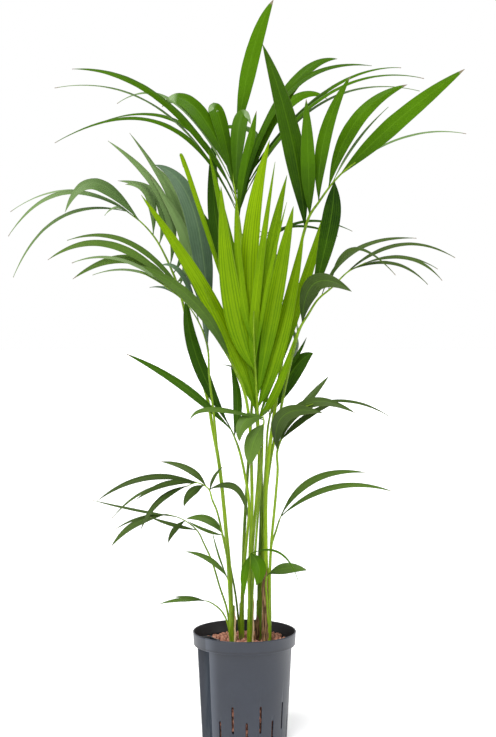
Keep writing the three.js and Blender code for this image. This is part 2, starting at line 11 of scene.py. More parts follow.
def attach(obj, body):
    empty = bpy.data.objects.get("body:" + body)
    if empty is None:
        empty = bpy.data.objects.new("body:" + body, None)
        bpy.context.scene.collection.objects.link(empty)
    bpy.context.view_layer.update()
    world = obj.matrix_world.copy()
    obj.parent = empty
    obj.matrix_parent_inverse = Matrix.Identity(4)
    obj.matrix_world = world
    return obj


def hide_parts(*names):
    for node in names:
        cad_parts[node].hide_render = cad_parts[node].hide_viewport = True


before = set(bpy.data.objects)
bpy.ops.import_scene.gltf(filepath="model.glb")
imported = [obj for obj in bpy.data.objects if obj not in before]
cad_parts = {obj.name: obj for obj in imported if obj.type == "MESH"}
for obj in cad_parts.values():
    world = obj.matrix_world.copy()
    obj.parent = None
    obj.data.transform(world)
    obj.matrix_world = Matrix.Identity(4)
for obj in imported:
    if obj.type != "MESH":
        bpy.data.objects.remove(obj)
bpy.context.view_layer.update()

mm = 0.001
scene = bpy.context.scene


# Helpers for meshes.
def rgb(red, green, blue):
    # a colour as it is seen on a screen, 0 to 255, as the values that Blender works with
    def channel(value):
        share = value / 255
        return share / 12.92 if share <= 0.04045 else ((share + 0.055) / 1.055) ** 2.4
    return (channel(red), channel(green), channel(blue), 1.0)


def addObject(name, data):
    item = bpy.data.objects.new(name, data)
    scene.collection.objects.link(item)
    return item


def meshFrom(name, points, edges, faces):
    mesh = bpy.data.meshes.new(name)
    mesh.from_pydata([tuple(p) for p in points], edges, faces)
    mesh.update()
    return mesh


def turnOutward(mesh):
    form = bmesh.new()
    form.from_mesh(mesh)
    bmesh.ops.recalc_face_normals(form, faces=form.faces)
    form.to_mesh(mesh)
    form.free()
    return mesh


def storeNumbers(mesh, name, values, kind="FLOAT", field="value"):
    mesh.attributes.new(name, kind, "POINT").data.foreach_set(field, values)


def wear(item, material):
    item.data.materials.clear()
    item.data.materials.append(material)


def settle(item):
    # the finished shape takes the place of the modifiers
    graph = bpy.context.evaluated_depsgraph_get()
    fresh = bpy.data.meshes.new_from_object(
        item.evaluated_get(graph), preserve_all_data_layers=True, depsgraph=graph)
    item.modifiers.clear()
    item.data = fresh
    fresh.name = item.name


def finishPiece(item, slotName, *nodes):
    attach(item, "root")
    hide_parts(*nodes)
    print(item.name, len(item.data.polygons), "faces")


def smoothStep(low, high, value):
    share = min(1, max(0, (value - low) / (high - low)))
    return share * share * (3 - 2 * share)


def onCircle(radius, angle):
    # angles run from the front to the right
    return radius * math.sin(angle), -radius * math.cos(angle)


def lathe(name, profile, segments):
    # a turned body; a point on the axis becomes a pole
    points, faces, starts = [], [], []
    for radius, height in profile:
        starts.append(len(points))
        for i in range(segments if radius > 0 else 1):
            points.append((*onCircle(radius * mm, 2 * math.pi * i / segments), height * mm))
    for ring in range(len(profile) - 1):
        low, high = starts[ring], starts[ring + 1]
        for i in range(segments):
            j = (i + 1) % segments
            if profile[ring][0] == 0:
                faces.append((low, high + j, high + i))
            elif profile[ring + 1][0] == 0:
                faces.append((low + i, low + j, high))
            else:
                faces.append((low + i, low + j, high + j, high + i))
    return meshFrom(name, points, [], faces)


def prismFaces(count):
    # the sides and the two ends of a prism whose outline has this many points
    faces = [(i, (i + 1) % count, count + (i + 1) % count, count + i) for i in range(count)]
    return faces + [tuple(range(count - 1, -1, -1)), tuple(range(count, 2 * count))]


def modify(item, kind, **settings):
    modifier = item.modifiers.new(kind.lower(), kind)
    for name, value in settings.items():
        setattr(modifier, name, value)
    settle(item)


def carve(item, cutter, operation):
    modify(item, "BOOLEAN", operation=operation, solver="EXACT", object=cutter)
    bpy.data.objects.remove(cutter)


# Helpers for node trees.
class Signal:
    # what comes out of a node; arithmetic on it adds math nodes to its tree
    def __init__(self, tree, socket):
        self.tree, self.socket = tree, socket

    def math(self, operation, *others, clamp=False):
        return made(self.tree, "ShaderNodeMath", dict(enumerate((self, *others))),
                    operation=operation, use_clamp=clamp)

    def ramp(self, low, high, start=0.0, end=1.0):
        # goes smoothly from start to end while the signal goes from low to high
        return made(self.tree, "ShaderNodeMapRange", {
            "Value": self, "From Min": low, "From Max": high, "To Min": start, "To Max": end},
            interpolation_type="SMOOTHSTEP")

    def mix(self, first, second):
        return made(self.tree, "ShaderNodeMix", {0: self, 6: first, 7: second}, 2,
                    data_type="RGBA")

    def vector(self, operation, other=(0.0, 0.0, 0.0)):
        return made(self.tree, "ShaderNodeVectorMath", {
            0: self, "Scale" if operation == "SCALE" else 1: other}, operation=operation)

    def parts(self):
        split = made(self.tree, "ShaderNodeSeparateXYZ", {"Vector": self}).socket.node
        return [Signal(self.tree, socket) for socket in split.outputs]

    def __add__(self, other):
        return self.math("ADD", other)

    def __sub__(self, other):
        return self.math("SUBTRACT", other)

    def __rsub__(self, other):
        return self.math("MULTIPLY_ADD", -1.0, other)

    def __mul__(self, other):
        return self.math("MULTIPLY", other)

    def __pow__(self, other):
        return self.math("POWER", other)

    def __abs__(self):
        return self.math("ABSOLUTE")


def join(value, socket):
    if isinstance(value, Signal):
        value.tree.links.new(value.socket, socket)
    else:
        socket.default_value = value


def made(tree, kind, inputs=None, output=0, **settings):
    # a new node's output, once its inputs are set or joined
    node = tree.nodes.new(kind)
    for name, value in settings.items():
        setattr(node, name, value)
    for name, value in (inputs or {}).items():
        join(value, node.inputs[name])
    return Signal(tree, node.outputs[output])


def newGroup(name, kind, inputs, outputs):
    # a node group; each of its inputs has a number to start from or the kind of its socket
    tree = bpy.data.node_groups.new(name, kind)
    for title, value in inputs.items():
        sort = value if isinstance(value, str) else "Int" if isinstance(value, int) else "Float"
        socket = tree.interface.new_socket(title, in_out="INPUT", socket_type="NodeSocket" + sort)
        if sort != value:
            socket.default_value = value
    for title, sort in outputs.items():
        tree.interface.new_socket(title, in_out="OUTPUT", socket_type="NodeSocket" + sort)
    start, end = tree.nodes.new("NodeGroupInput"), tree.nodes.new("NodeGroupOutput")
    return tree, {title: Signal(tree, start.outputs[title]) for title in inputs}, end.inputs


def useGroup(tree, group, values):
    node = made(tree, "ShaderNodeGroup", values, node_tree=group).socket.node
    return {socket.name: Signal(tree, socket) for socket in node.outputs}


def runTree(item, tree, values):
    # adds a geometry node tree with its inputs set, and keeps what it makes
    modifier = item.modifiers.new(tree.name, "NODES")
    modifier.node_group = tree
    for socket in tree.interface.items_tree:
        if socket.in_out == "INPUT" and socket.name in values:
            modifier[socket.identifier] = values[socket.name]
    settle(item)


# Sizes.
pot = {
    "rimRadius": 90, "height": 190, "rimHeight": 23, "rimWall": 2.2, "rimFlare": 1.5,
    "neckRadius": 82.5, "footRadius": 74, "wall": 2.2, "floor": 2.5, "segments": 160,
    "softEdge": 0.5, "softFrom": 40, "sharpFrom": 32,
}
pot["neckHeight"] = pot["height"] - pot["rimHeight"]
recess = {
    "from": -77, "to": -47, "innerRadius": 61, "outerRadius": 84.5, "wallTop": 183, "steps": 12,
}
slots = {"count": 20, "width": 4, "tall": (29, 76), "low": (9, 49), "firstAngle": 3, "steps": 6,
         "outward": 4, "inward": 6}
bed = {"level": 171, "clearance": 0.4, "under": 2, "riseRight": 3, "riseBack": 2, "edgeDrop": 2.5,
       "lumps": 1.6}

# Each young palm: where its stem stands, its radius, and how high its sheath goes.
palms = {
    "palm_1": {"foot": (-21, -8), "radius": 6, "sheathTop": 235},
    "palm_2": {"foot": (-5, 14), "radius": 5.5, "sheathTop": 235},
    "palm_3": {"foot": (9, -11), "radius": 5.5, "sheathTop": 230},
    "palm_4": {"foot": (25, 13), "radius": 5.5, "sheathTop": 240},
    "palm_5": {"foot": (41, -7), "radius": 7, "sheathTop": 300},
}

# Each leaf: its palm, the radius of its stalk at the foot and at the blade, the points that
# its stalk and its rib pass through, and its leaflets, in millimetres. A leaflet is
# (where on the rib, tip x, y, z, rise of its arch, where the arch peaks, width, turn),
# and its turn is 0 where the blade lies along Y and 90 where it faces the front.
leafParts = ("palm", "girth", "stalk", "rib", "leaflets")
leafRows = {
    "crown": ("palm_4", (3.4, 2.4),
        [(26, 14, 295), (29, 16, 380), (29, 16, 470), (22, 18, 555), (13, 20, 660), (4, 22, 765),
        (-3, 24, 845)],
        [(-8, 30, 895), (-15, 42, 945), (-20, 62, 990), (-19, 90, 1025), (-14, 124, 1060)],
        [(0.25, -336, 60, 1044, 103, 0.55, 16, 35), (0.3, -340, 90, 1146, 73, 0.62, 8, 35),
        (0.35, -264, 140, 1092, 73, 0.6, 14, 35), (0.42, -306, 70, 1176, 54, 0.65, 20, 45),
        (0.48, -234, 150, 1128, 63, 0.85, 12, 35), (0.57, -150, 120, 1117, 41, 1.06, 34, 65),
        (0.62, -74, 250, 1098, 70, 0.45, 28, 40), (0.42, -60, 96, 1074, 21, 1.87, 31, 65),
        (0.4, 11, 78, 1080, 20, 1.47, 29, 70), (0.27, 21, 50, 1099, 2, 0.45, 22, 75),
        (1, 52, 110, 1308, 12, 0.7, 30, 75), (0.32, 163, 45, 1189, 41, 0.85, 26, 65),
        (0.25, 222, 30, 1174, 80, 0.7, 16, 50), (0.35, 312, 20, 1150, 72, 0.66, 18, 25),
        (0.42, 280, 90, 1182, 49, 0.7, 14, 35), (0.3, 316, 110, 1144, 79, 0.62, 10, 35),
        (0.51, 152, 160, 1138, 42, 0.95, 26, 52)]),
    "left_high": ("palm_1", (3.8, 2.4),
        [(-25, -8, 260), (-30, -6, 340), (-36, -4, 410), (-44, 2, 480), (-55, 8, 540),
        (-65, 14, 595), (-81, 20, 645), (-96, 28, 695), (-106, 36, 750)],
        [(-119, 44, 795), (-136, 56, 835), (-158, 72, 875), (-184, 90, 905), (-216, 110, 930)],
        [(1, -426, 150, 810, 52, 0.45, 14, 35), (0.97, -426, 100, 882, 59, 0.5, 16, 35),
        (0.95, -434, 170, 932, 42, 0.5, 7, 35), (0.85, -318, 60, 922, 57, 0.79, 30, 50),
        (0.92, -336, 150, 970, 14, 0.5, 8, 35), (0.35, -242, 60, 1048, 42, 0.4, 20, 60),
        (0.28, -206, 90, 1066, 40, 0.2, 18, 60), (0.1, -129, 70, 983, 29, 0.2, 15, 65),
        (0.2, -167, 52, 986, 35, 0.1, 26, 60), (0.15, -160, 95, 1008, 38, 0.5, 24, 55),
        (0.55, -230, 120, 984, 45, 0.53, 24, 50), (0.65, -212, 70, 972, 28, 0.8, 20, 50),
        (0.95, -248, 60, 916, 14, 0.5, 8, 40)]),
    "left_mid": ("palm_3", (3.4, 2.4),
        [(9, -14, 265), (10, -18, 340), (13, -22, 410), (12, -28, 480), (10, -34, 540),
        (3, -40, 595), (-8, -46, 630)],
        [(-31, -56, 675), (-61, -70, 720), (-97, -90, 760), (-136, -108, 790),
        (-171, -124, 810)], [(0.55, -296, -80, 863, 47, 0.65, 15, 40),
        (0.62, -318, -150, 827, 54, 0.66, 17, 50), (0.7, -274, -190, 820, 28, 0.62, 10, 35),
        (0.66, -282, -120, 797, 48, 0.5, 19, 60), (0.6, -256, -60, 806, 28, 0.55, 9, 35),
        (0.12, -188, -135, 822, 29, 0.57, 22, 65)]),
    "left_inner": ("palm_1", (2.6, 1.8),
        [(-23, -14, 270), (-30, -20, 360), (-39, -26, 440), (-47, -30, 510), (-53, -34, 575),
        (-60, -38, 635), (-62, -42, 680)],
        [(-70, -44, 710), (-82, -48, 735), (-95, -54, 755)], [
        (0.05, -156, 30, 1002, 42, 0.85, 40, 65), (0.1, -72, -62, 738, 3, 0.5, 8, 50),
        (0.3, -100, -30, 806, 14, 0.6, 16, 60), (0.55, -146, -15, 824, 24, 0.9, 14, 40),
        (0.9, -162, -30, 786, 14, 0.6, 10, 35)]),
    "left_low": ("palm_2", (2.8, 2.2),
        [(-4, 10, 260), (3, 4, 340), (8, 0, 410), (1, -4, 460), (-9, -8, 505)],
        [(-18, -12, 530), (-27, -16, 550)], [(0.8, -200, -70, 674, 12, 0.5, 15, 70),
        (1, -100, 10, 774, -17, 0.65, 24, 80), (0.5, -24, 20, 652, 9, 0.5, 16, 80)]),
    "right_low": ("palm_5", (2.8, 2),
        [(43, -12, 265), (46, -18, 340), (53, -26, 420), (57, -32, 475), (56, -36, 505)],
        [(66, -42, 535), (77, -52, 560), (94, -66, 580), (115, -84, 590)], [
        (0, 128, -130, 578, 38, 0.5, 30, 60), (0.1, 184, -105, 576, 45, 0.53, 22, 55),
        (0.9, 244, -60, 568, 17, 0.5, 8, 35), (0.5, 144, -30, 634, 0, 0.5, 13, 75),
        (0.55, 116, 10, 606, -5, 0.5, 7, 60), (0.15, 160, -70, 594, 10, 0.5, 16, 40)]),
    "front_low": ("palm_3", (2.4, 1.8),
        [(15, -26, 285), (20, -40, 355), (25, -52, 425), (30, -60, 495), (31, -64, 545)],
        [(33, -68, 560), (31, -70, 570)], [(0.6, -90, -110, 565, 18, 0.9, 12, 45),
        (0.8, -8, -95, 528, 17, 0.5, 24, 75), (0.3, 10, -85, 486, 7, 0.5, 30, 85),
        (1, 42, -60, 578, 2, 0.5, 6, 70)]),
    "back_low": ("palm_5", (2.8, 2),
        [(39, 12, 260), (35, 27, 340), (34, 30, 415), (38, 32, 485), (41, 34, 540)],
        [(48, 38, 575), (59, 44, 610), (70, 52, 645)], [(0.2, 122, 60, 672, 12, 0.8, 34, 75),
        (0.5, 84, 90, 660, 3, 0.5, 14, 75), (0.9, 110, 60, 700, -3, 0.5, 8, 60),
        (0.45, 10, 200, 690, 35, 0.5, 20, 30), (1, 66, 215, 740, 28, 0.5, 18, 30),
        (0.15, -40, 130, 650, 28, 0.5, 16, 30)]),
    "young": ("palm_3", (3.2, 2.4),
        [(11, -6, 270), (14, -2, 340), (20, -2, 410), (25, -6, 480), (24, -14, 540),
        (22, -22, 585)],
        [(20, -28, 620), (18, -36, 660), (16, -46, 705), (16, -58, 745)], [
        (-0.14, -174, -60, 941, 20, 0.4, 30, 75), (0.23, -105, -20, 992, 5, 1.3, 10, 60),
        (0.36, -62, -5, 1022, 2, 0.4, 20, 80), (0.4, -39, -80, 953, -17, 0.25, 36, 85),
        (0.66, -14, -60, 941, -10, 0.34, 16, 85), (0.54, 43, -35, 1036, 21, 0.52, 31, 85),
        (0.44, 51, -96, 992, 10, 0.1, 17, 80), (0.24, 73, -15, 979, 10, 0.49, 26, 80),
        (0.48, 70, -110, 924, 5, 0.5, 8, 70), (0.04, 82, -78, 920, 2, 0.6, 28, 85),
        (-0.06, 101, -50, 883, -8, 0.3, 28, 85), (-0.18, 151, -10, 951, -3, 0.59, 20, 80),
        (-0.16, 93, -35, 720, -10, 0.2, 15, 80), (-0.1, -69, -42, 790, 2, 0.4, 24, 75),
        (-0.02, -16, -30, 860, 3, 0.4, 26, 80)]),
    "right_high": ("palm_5", (3.8, 2.6),
        [(39, -2, 260), (37, 0, 340), (37, 2, 420), (41, 4, 485), (50, 6, 555), (60, 8, 625),
        (70, 10, 695), (80, 8, 765), (91, 2, 830), (102, -10, 880)],
        [(112, -24, 910), (126, -42, 930), (144, -62, 955), (163, -84, 975), (183, -104, 990)],
        [(0.03, 30, -120, 1180, 12, 0.5, 36, 85), (0.18, 100, -150, 1086, 0, 0.5, 25, 85),
        (0.4, 172, -140, 1124, 17, 0.55, 23, 80), (0.58, 270, -90, 1120, 31, 0.6, 26, 75),
        (0.64, 242, -60, 1088, 9, 0.5, 8, 35), (0.75, 352, -172, 1130, 7, 0.55, 31, 75),
        (0.9, 376, -40, 1046, 24, 0.55, 8, 35), (0.68, 116, -40, 768, -6, 0.3, 32, 80)]),
    "right_mid": ("palm_4", (3.2, 2.2),
        [(29, 12, 260), (33, 14, 340), (37, 15, 420), (46, 12, 490), (60, 0, 560),
        (71, -14, 620), (81, -28, 665), (94, -42, 715)],
        [(108, -54, 740), (124, -64, 765), (147, -76, 785), (172, -90, 810), (201, -102, 825)],
        [(0.05, 174, -150, 776, 44, 0.65, 34, 62), (0.45, 290, -60, 868, 37, 0.45, 14, 35),
        (0.55, 244, -160, 802, 58, 0.45, 12, 35), (0.75, 346, -120, 832, 37, 0.55, 12, 35),
        (0.85, 292, -190, 786, 24, 0.5, 11, 35), (0.97, 322, -140, 794, 26, 0.55, 12, 35),
        (1, 326, -60, 816, 17, 0.5, 7, 35)]),
    "knee_left": ("palm_1", (2.2, 1.6),
        [(-23, -16, 245), (-28, -26, 310), (-37, -36, 360), (-47, -44, 405), (-55, -48, 425)],
        [(-60, -50, 442), (-69, -54, 450), (-82, -60, 455), (-97, -66, 450)], [
        (0.4, -144, -30, 488, 12, 0.4, 14, 50), (0.7, -246, -90, 428, 24, 0.5, 13, 45),
        (0.75, -178, -120, 434, 12, 0.5, 12, 50), (0.85, -222, -100, 398, 21, 0.5, 8, 35),
        (1, -170, -130, 386, 14, 0.5, 13, 50), (0.5, -100, -115, 422, 7, 0.5, 16, 60),
        (0.25, 6, -95, 398, 30, 0.4, 16, 40), (0.2, -36, -52, 482, 5, 0.5, 7, 50)]),
    "knee_back": ("palm_1", (2, 1.5),
        [(-30, -4, 225), (-43, 2, 265), (-57, 8, 310), (-71, 12, 340)],
        [(-81, 14, 360), (-97, 16, 375), (-117, 20, 385), (-138, 24, 390)], [
        (1, -236, 40, 330, 14, 0.5, 14, 60), (0.95, -232, 70, 356, 9, 0.5, 8, 30),
        (0.8, -268, 30, 414, -2, 0.5, 8, 30), (0.6, -132, -20, 346, 5, 0.5, 11, 60),
        (0.3, -164, 0, 388, -2, 0.5, 10, 40)]),
    "stub_left": ("palm_2", (2, 1.6),
        [(-15, 12, 245), (-24, 16, 295), (-31, 20, 335)],
        [(-38, 24, 355)], [(1, -104, 50, 378, 14, 0.5, 17, 50),
        (0.9, -98, 5, 380, -3, 0.5, 8, 40)]),
    "ankle_left": ("palm_1", (2, 1.6),
        [(-22, -18, 230), (-25, -26, 255), (-27, -32, 280)],
        [(-30, -34, 290)], [(1, -100, -60, 338, 10, 0.5, 11, 50),
        (0.8, -56, -20, 368, -2, 0.5, 5, 40)]),
    "foot_left": ("palm_1", (1.8, 1.4),
        [(-29, 0, 200), (-39, 10, 220), (-52, 20, 230)],
        [(-66, 30, 235), (-73, 34, 235)], [(1, -152, 60, 224, 5, 0.5, 10, 35),
        (0.9, -124, 10, 246, 3, 0.5, 8, 35)]),
    "split_right": ("palm_5", (2.2, 1.6),
        [(43, 6, 240), (45, 18, 290), (48, 28, 335), (56, 36, 360), (61, 42, 375)],
        [(65, 46, 385)], [(1, 220, 110, 454, 31, 0.45, 14, 65),
        (0.8, 266, 70, 424, 31, 0.5, 12, 55)]),
    "ankle_right": ("palm_5", (2, 1.6),
        [(39, -16, 245), (37, -24, 275), (39, -28, 290)],
        [(42, -30, 295)], [(0.8, 106, -60, 306, 7, 0.5, 19, 70)]),
    "ankle_front": ("palm_3", (2, 1.6),
        [(8, -28, 250), (6, -44, 305), (8, -52, 325)],
        [(10, -54, 335)], [(0.9, 20, -90, 286, 10, 0.5, 26, 80),
        (0.8, 90, -90, 294, 26, 0.45, 6, 35), (0.5, 0, -74, 266, 5, 0.5, 14, 70)]),
    "back_high": ("palm_2", (3.2, 2.2),
        [(-3, 22, 265), (-1, 30, 345), (3, 38, 420), (8, 46, 500), (13, 54, 580), (17, 64, 660),
        (17, 76, 730)],
        [(17, 92, 775), (19, 116, 820), (23, 148, 865), (28, 186, 900)], [
        (0.7, 202, 200, 898, 38, 0.5, 12, 35), (0.9, 178, 250, 892, 21, 0.5, 10, 35),
        (0.3, -54, 150, 1090, -40, 0.2, 30, 80), (0.1, -150, 160, 1000, 11, 0.85, 26, 65),
        (0.5, -36, 250, 800, 38, 0.5, 22, 20), (0.6, 60, 270, 800, 38, 0.5, 22, 20),
        (0.8, -18, 310, 854, 31, 0.5, 20, 20), (1, 34, 340, 848, 28, 0.5, 18, 20),
        (0.2, 100, 230, 700, 35, 0.5, 20, 20), (0.35, -16, 220, 704, 35, 0.5, 20, 20)]),
}
leaves = {name: dict(zip(leafParts, row)) for name, row in leafRows.items()}


# Curves of the leaves.
def curvePoint(points, t):
    # a point of the centripetal Catmull-Rom curve through the points, t from 0 to 1
    place = (len(points) - 1) * t
    span = min(int(place), len(points) - 2)
    weight = place - span
    b, c = points[span], points[span + 1]
    a = points[span - 1] if span > 0 else b * 2 - c
    d = points[span + 2] if span + 2 < len(points) else c * 2 - b
    before, here, after = (math.sqrt((q - p).length) for p, q in ((a, b), (b, c), (c, d)))
    leave = ((b - a) / before - (c - a) / (before + here) + (c - b) / here) * here
    arrive = ((c - b) / here - (d - b) / (here + after) + (d - c) / after) * here
    return (b + leave * weight + (b * -3 + c * 3 - leave * 2 - arrive) * weight ** 2
            + (b * 2 - c * 2 + leave + arrive) * weight ** 3)


def curveRun(points, first, last, count):
    return [curvePoint(points, first + (last - first) * i / (count - 1)) for i in range(count)]


stalkDepth = 30    # how far a leaf's curve starts below the top of the bed


def leafPoints(leaf):
    foot = (*palms[leaf["palm"]]["foot"], bed["level"] - stalkDepth)
    return [Vector(p) for p in [foot, *leaf["stalk"], *leaf["rib"]]]


def stalkEnd(leaf):
    return len(leaf["stalk"]) / (len(leaf["stalk"]) + len(leaf["rib"]))


def square(direction, tangent):
    # the part of a direction that stands square to the tangent
    return (direction - tangent * direction.dot(tangent)).normalized()


class Chains:
    # polylines with what the sweeps need to know at each point
    def __init__(self):
        self.points, self.edges, self.facing = [], [], []
        self.values = {name: [] for name in ("girth", "along", "tint", "pale")}

    def add(self, points, girths, facings, tint, pales=None):
        start = len(self.points)
        count = len(points)
        self.points += [p * mm for p in points]
        self.edges += [(start + i, start + i + 1) for i in range(count - 1)]
        self.values["girth"] += [g * mm for g in girths]
        self.values["along"] += [i / (count - 1) for i in range(count)]
        self.values["tint"] += [tint] * count
        self.values["pale"] += pales or [0.0] * count
        self.facing += [part for facing in facings for part in facing]

    def item(self, name):
        mesh = meshFrom(name, self.points, self.edges, [])
        for title, values in self.values.items():
            storeNumbers(mesh, title, values)
        storeNumbers(mesh, "facing", self.facing, "FLOAT_VECTOR", "vector")
        return addObject(name, mesh)


# Geometry node trees.
def namedValue(tree, name, kind="FLOAT"):
    return made(tree, "GeometryNodeInputNamedAttribute", {"Name": name}, "Attribute",
                data_type=kind)


def store(geometry, name, value, kind="FLOAT"):
    return made(geometry.tree, "GeometryNodeStoreNamedAttribute",
                {"Geometry": geometry, "Name": name, "Value": value},
                data_type=kind, domain="POINT")


def setPlace(geometry, way, value):
    # the way is Position, which places the points, or Offset, which moves them
    return made(geometry.tree, "GeometryNodeSetPosition", {"Geometry": geometry, way: value})


def circleProfile(tree, count):
    # a unit circle that keeps its two coordinates as attributes; across runs over the blade
    circle = made(tree, "GeometryNodeCurvePrimitiveCircle", {"Resolution": count, "Radius": 1.0})
    x, y = made(tree, "GeometryNodeInputPosition").parts()[:2]
    return store(store(circle, "across", y), "side", x)


def placeProfile(curve, height):
    # the height of each profile point goes along the curve's normal, and across to its side
    return setPlace(curve, "Position", made(curve.tree, "ShaderNodeCombineXYZ", {
        "X": height, "Y": namedValue(curve.tree, "across"), "Z": 0.0}))


def wander(tree, scale, seed):
    # three smooth random values between about -1 and 1 at each point
    start = made(tree, "ShaderNodeCombineXYZ", {"X": seed * 7.31, "Y": seed, "Z": 0.5})
    shifted = made(tree, "GeometryNodeInputPosition").vector("ADD", start)
    field = made(tree, "ShaderNodeTexNoise", {
        "Vector": shifted, "Scale": scale, "Detail": 2.0}, "Color")
    return field.vector("SUBTRACT", (0.5, 0.5, 0.5)).vector("SCALE", 3.0).parts()


def sweepCurve(given):
    # the chains as curves that sway by a share of their girth and turn a little as they go
    tree = given["Chains"].tree
    curve = made(tree, "GeometryNodeMeshToCurve", {"Mesh": given["Chains"]})
    turning, swaying = wander(tree, given["Bend Scale"], given["Seed"])[:2]
    facing = namedValue(tree, "facing", "FLOAT_VECTOR")
    aside = made(tree, "GeometryNodeInputTangent").vector("CROSS_PRODUCT", facing)
    turned = facing.vector("ADD", aside.vector("SCALE", turning * given["Twist"]))
    curve = store(curve, "facing", turned.vector("NORMALIZE"), "FLOAT_VECTOR")
    bow = (namedValue(tree, "along") * math.pi).math("SINE")
    loose = swaying * given["Sway"] * (namedValue(tree, "girth") * bow)
    curve = setPlace(curve, "Offset", facing.vector("SCALE", loose))
    return made(tree, "GeometryNodeSetCurveNormal", {"Curve": curve, "Normal": facing},
                mode="FREE")


def sweepMesh(curve, profile):
    return made(curve.tree, "GeometryNodeCurveToMesh", {
        "Curve": curve, "Profile Curve": profile, "Scale": namedValue(curve.tree, "girth"),
        "Fill Caps": True})


def closeTree(geometry, material, output):
    tree = geometry.tree
    smooth = made(tree, "GeometryNodeSetShadeSmooth", {
        "Geometry": geometry, "Shade Smooth": True})
    real = made(tree, "GeometryNodeRealizeInstances", {"Geometry": smooth})
    join(made(tree, "GeometryNodeSetMaterial", {"Geometry": real, "Material": material}), output)
    return tree


def makeBladeTree():
    tree, given, result = newGroup("bladeSweep", "GeometryNodeTree", {
        "Chains": "Geometry", "Material": "Material", "Profile Points": 22,
        "Half Thickness": 0.0003, "Fold": 0.16, "Pleats": 3.0, "Pleat Depth": 0.012,
        "Bend Scale": 14.0, "Sway": 0.1, "Twist": 0.12, "Ripple": 0.05, "Ripple Scale": 55.0,
        "Midrib": 1.2, "Seed": 1.0}, {"Blades": "Geometry"})
    across, facing = namedValue(tree, "across"), namedValue(tree, "facing", "FLOAT_VECTOR")
    pleat = (across * (given["Pleats"] * (2 * math.pi))).math("COSINE") * given["Pleat Depth"]
    height = pleat - abs(across) ** 1.15 * given["Fold"]
    profile = placeProfile(circleProfile(tree, given["Profile Points"]), height)
    curve = sweepCurve(given)
    # thickness, with a stouter midrib, and a margin that ripples
    middle = (1.0 - across.math("ABSOLUTE", clamp=True)) ** 6.0
    stout = middle * given["Midrib"] + 1.0
    body = namedValue(tree, "side") * stout * given["Half Thickness"]
    ripple = wander(tree, given["Ripple Scale"], given["Seed"])[2] * given["Ripple"]
    wave = ripple * (abs(across) ** 2.0 * namedValue(tree, "girth"))
    mesh = setPlace(sweepMesh(curve, profile), "Offset", facing.vector("SCALE", body + wave))
    return closeTree(mesh, given["Material"], result["Blades"])


def makeStalkTree():
    tree, given, result = newGroup("stalkSweep", "GeometryNodeTree", {
        "Chains": "Geometry", "Material": "Material", "Profile Points": 20, "Ridges": 5.0,
        "Ridge Height": 0.03, "Channel": 0.18, "Bend Scale": 20.0, "Sway": 0.15, "Twist": 0.25,
        "Seed": 1.0},
        {"Stalks": "Geometry"})
    across, side = namedValue(tree, "across"), namedValue(tree, "side")
    # a shallow channel along the upper side, and ridges all round
    hollow = side.math("MAXIMUM", 0.0) * given["Channel"]
    ridge = (across * (given["Ridges"] * math.pi)).math("COSINE")
    height = side - hollow + ridge * (given["Ridge Height"] * side)
    profile = placeProfile(circleProfile(tree, given["Profile Points"]), height)
    curve = sweepCurve(given)
    return closeTree(sweepMesh(curve, profile), given["Material"], result["Stalks"])


def makePebbleTree():
    tree, given, result = newGroup("pebbleScatter", "GeometryNodeTree", {
        "Ground": "Geometry", "Material": "Material", "Pebbles": "Collection",
        "Spacing": 0.0075, "Density": 40000.0, "Smallest": 0.7, "Largest": 1.15,
        "Full Turn": 6.28, "Seed": 3}, {"Bed": "Geometry"})
    seed = given["Seed"]
    points = made(tree, "GeometryNodeDistributePointsOnFaces", {
        "Mesh": given["Ground"], "Distance Min": given["Spacing"], "Density Max": given["Density"],
        "Density Factor": namedValue(tree, "scatter"), "Seed": seed},
        distribute_method="POISSON")
    tint = made(tree, "FunctionNodeRandomValue", {"Seed": seed}, 1, data_type="FLOAT")
    turn = made(tree, "FunctionNodeRandomValue", {
        "Max": made(tree, "ShaderNodeCombineXYZ", dict.fromkeys("XYZ", given["Full Turn"])),
        "Seed": seed + 5.0}, data_type="FLOAT_VECTOR")
    size = made(tree, "FunctionNodeRandomValue", {
        2: given["Smallest"], 3: given["Largest"], "Seed": seed + 9.0}, 1, data_type="FLOAT")
    shapes = made(tree, "GeometryNodeCollectionInfo", {
        "Collection": given["Pebbles"], "Separate Children": True, "Reset Children": True})
    placed = made(tree, "GeometryNodeInstanceOnPoints", {
        "Points": store(points, "tint", tint), "Instance": shapes, "Pick Instance": True,
        "Rotation": made(tree, "FunctionNodeEulerToRotation", {"Euler": turn}), "Scale": size})
    return closeTree(placed, given["Material"], result["Bed"])


# Shared shader groups.
def objectPlace(tree):
    return made(tree, "ShaderNodeTexCoord", None, "Object")


def meshValues(tree, *names):
    return [made(tree, "ShaderNodeAttribute", None, "Fac", attribute_type="GEOMETRY",
                 attribute_name=name) for name in names]


def noiseValue(place, scale, detail=3.0):
    return made(place.tree, "ShaderNodeTexNoise", {
        "Vector": place, "Scale": scale, "Detail": detail, "Roughness": 0.55}, "Fac")


def stretched(place, *scale):
    return made(place.tree, "ShaderNodeMapping", {"Vector": place, "Scale": scale})


def bump(height, strength, depth):
    return made(height.tree, "ShaderNodeBump", {
        "Strength": strength, "Distance": depth, "Height": height})


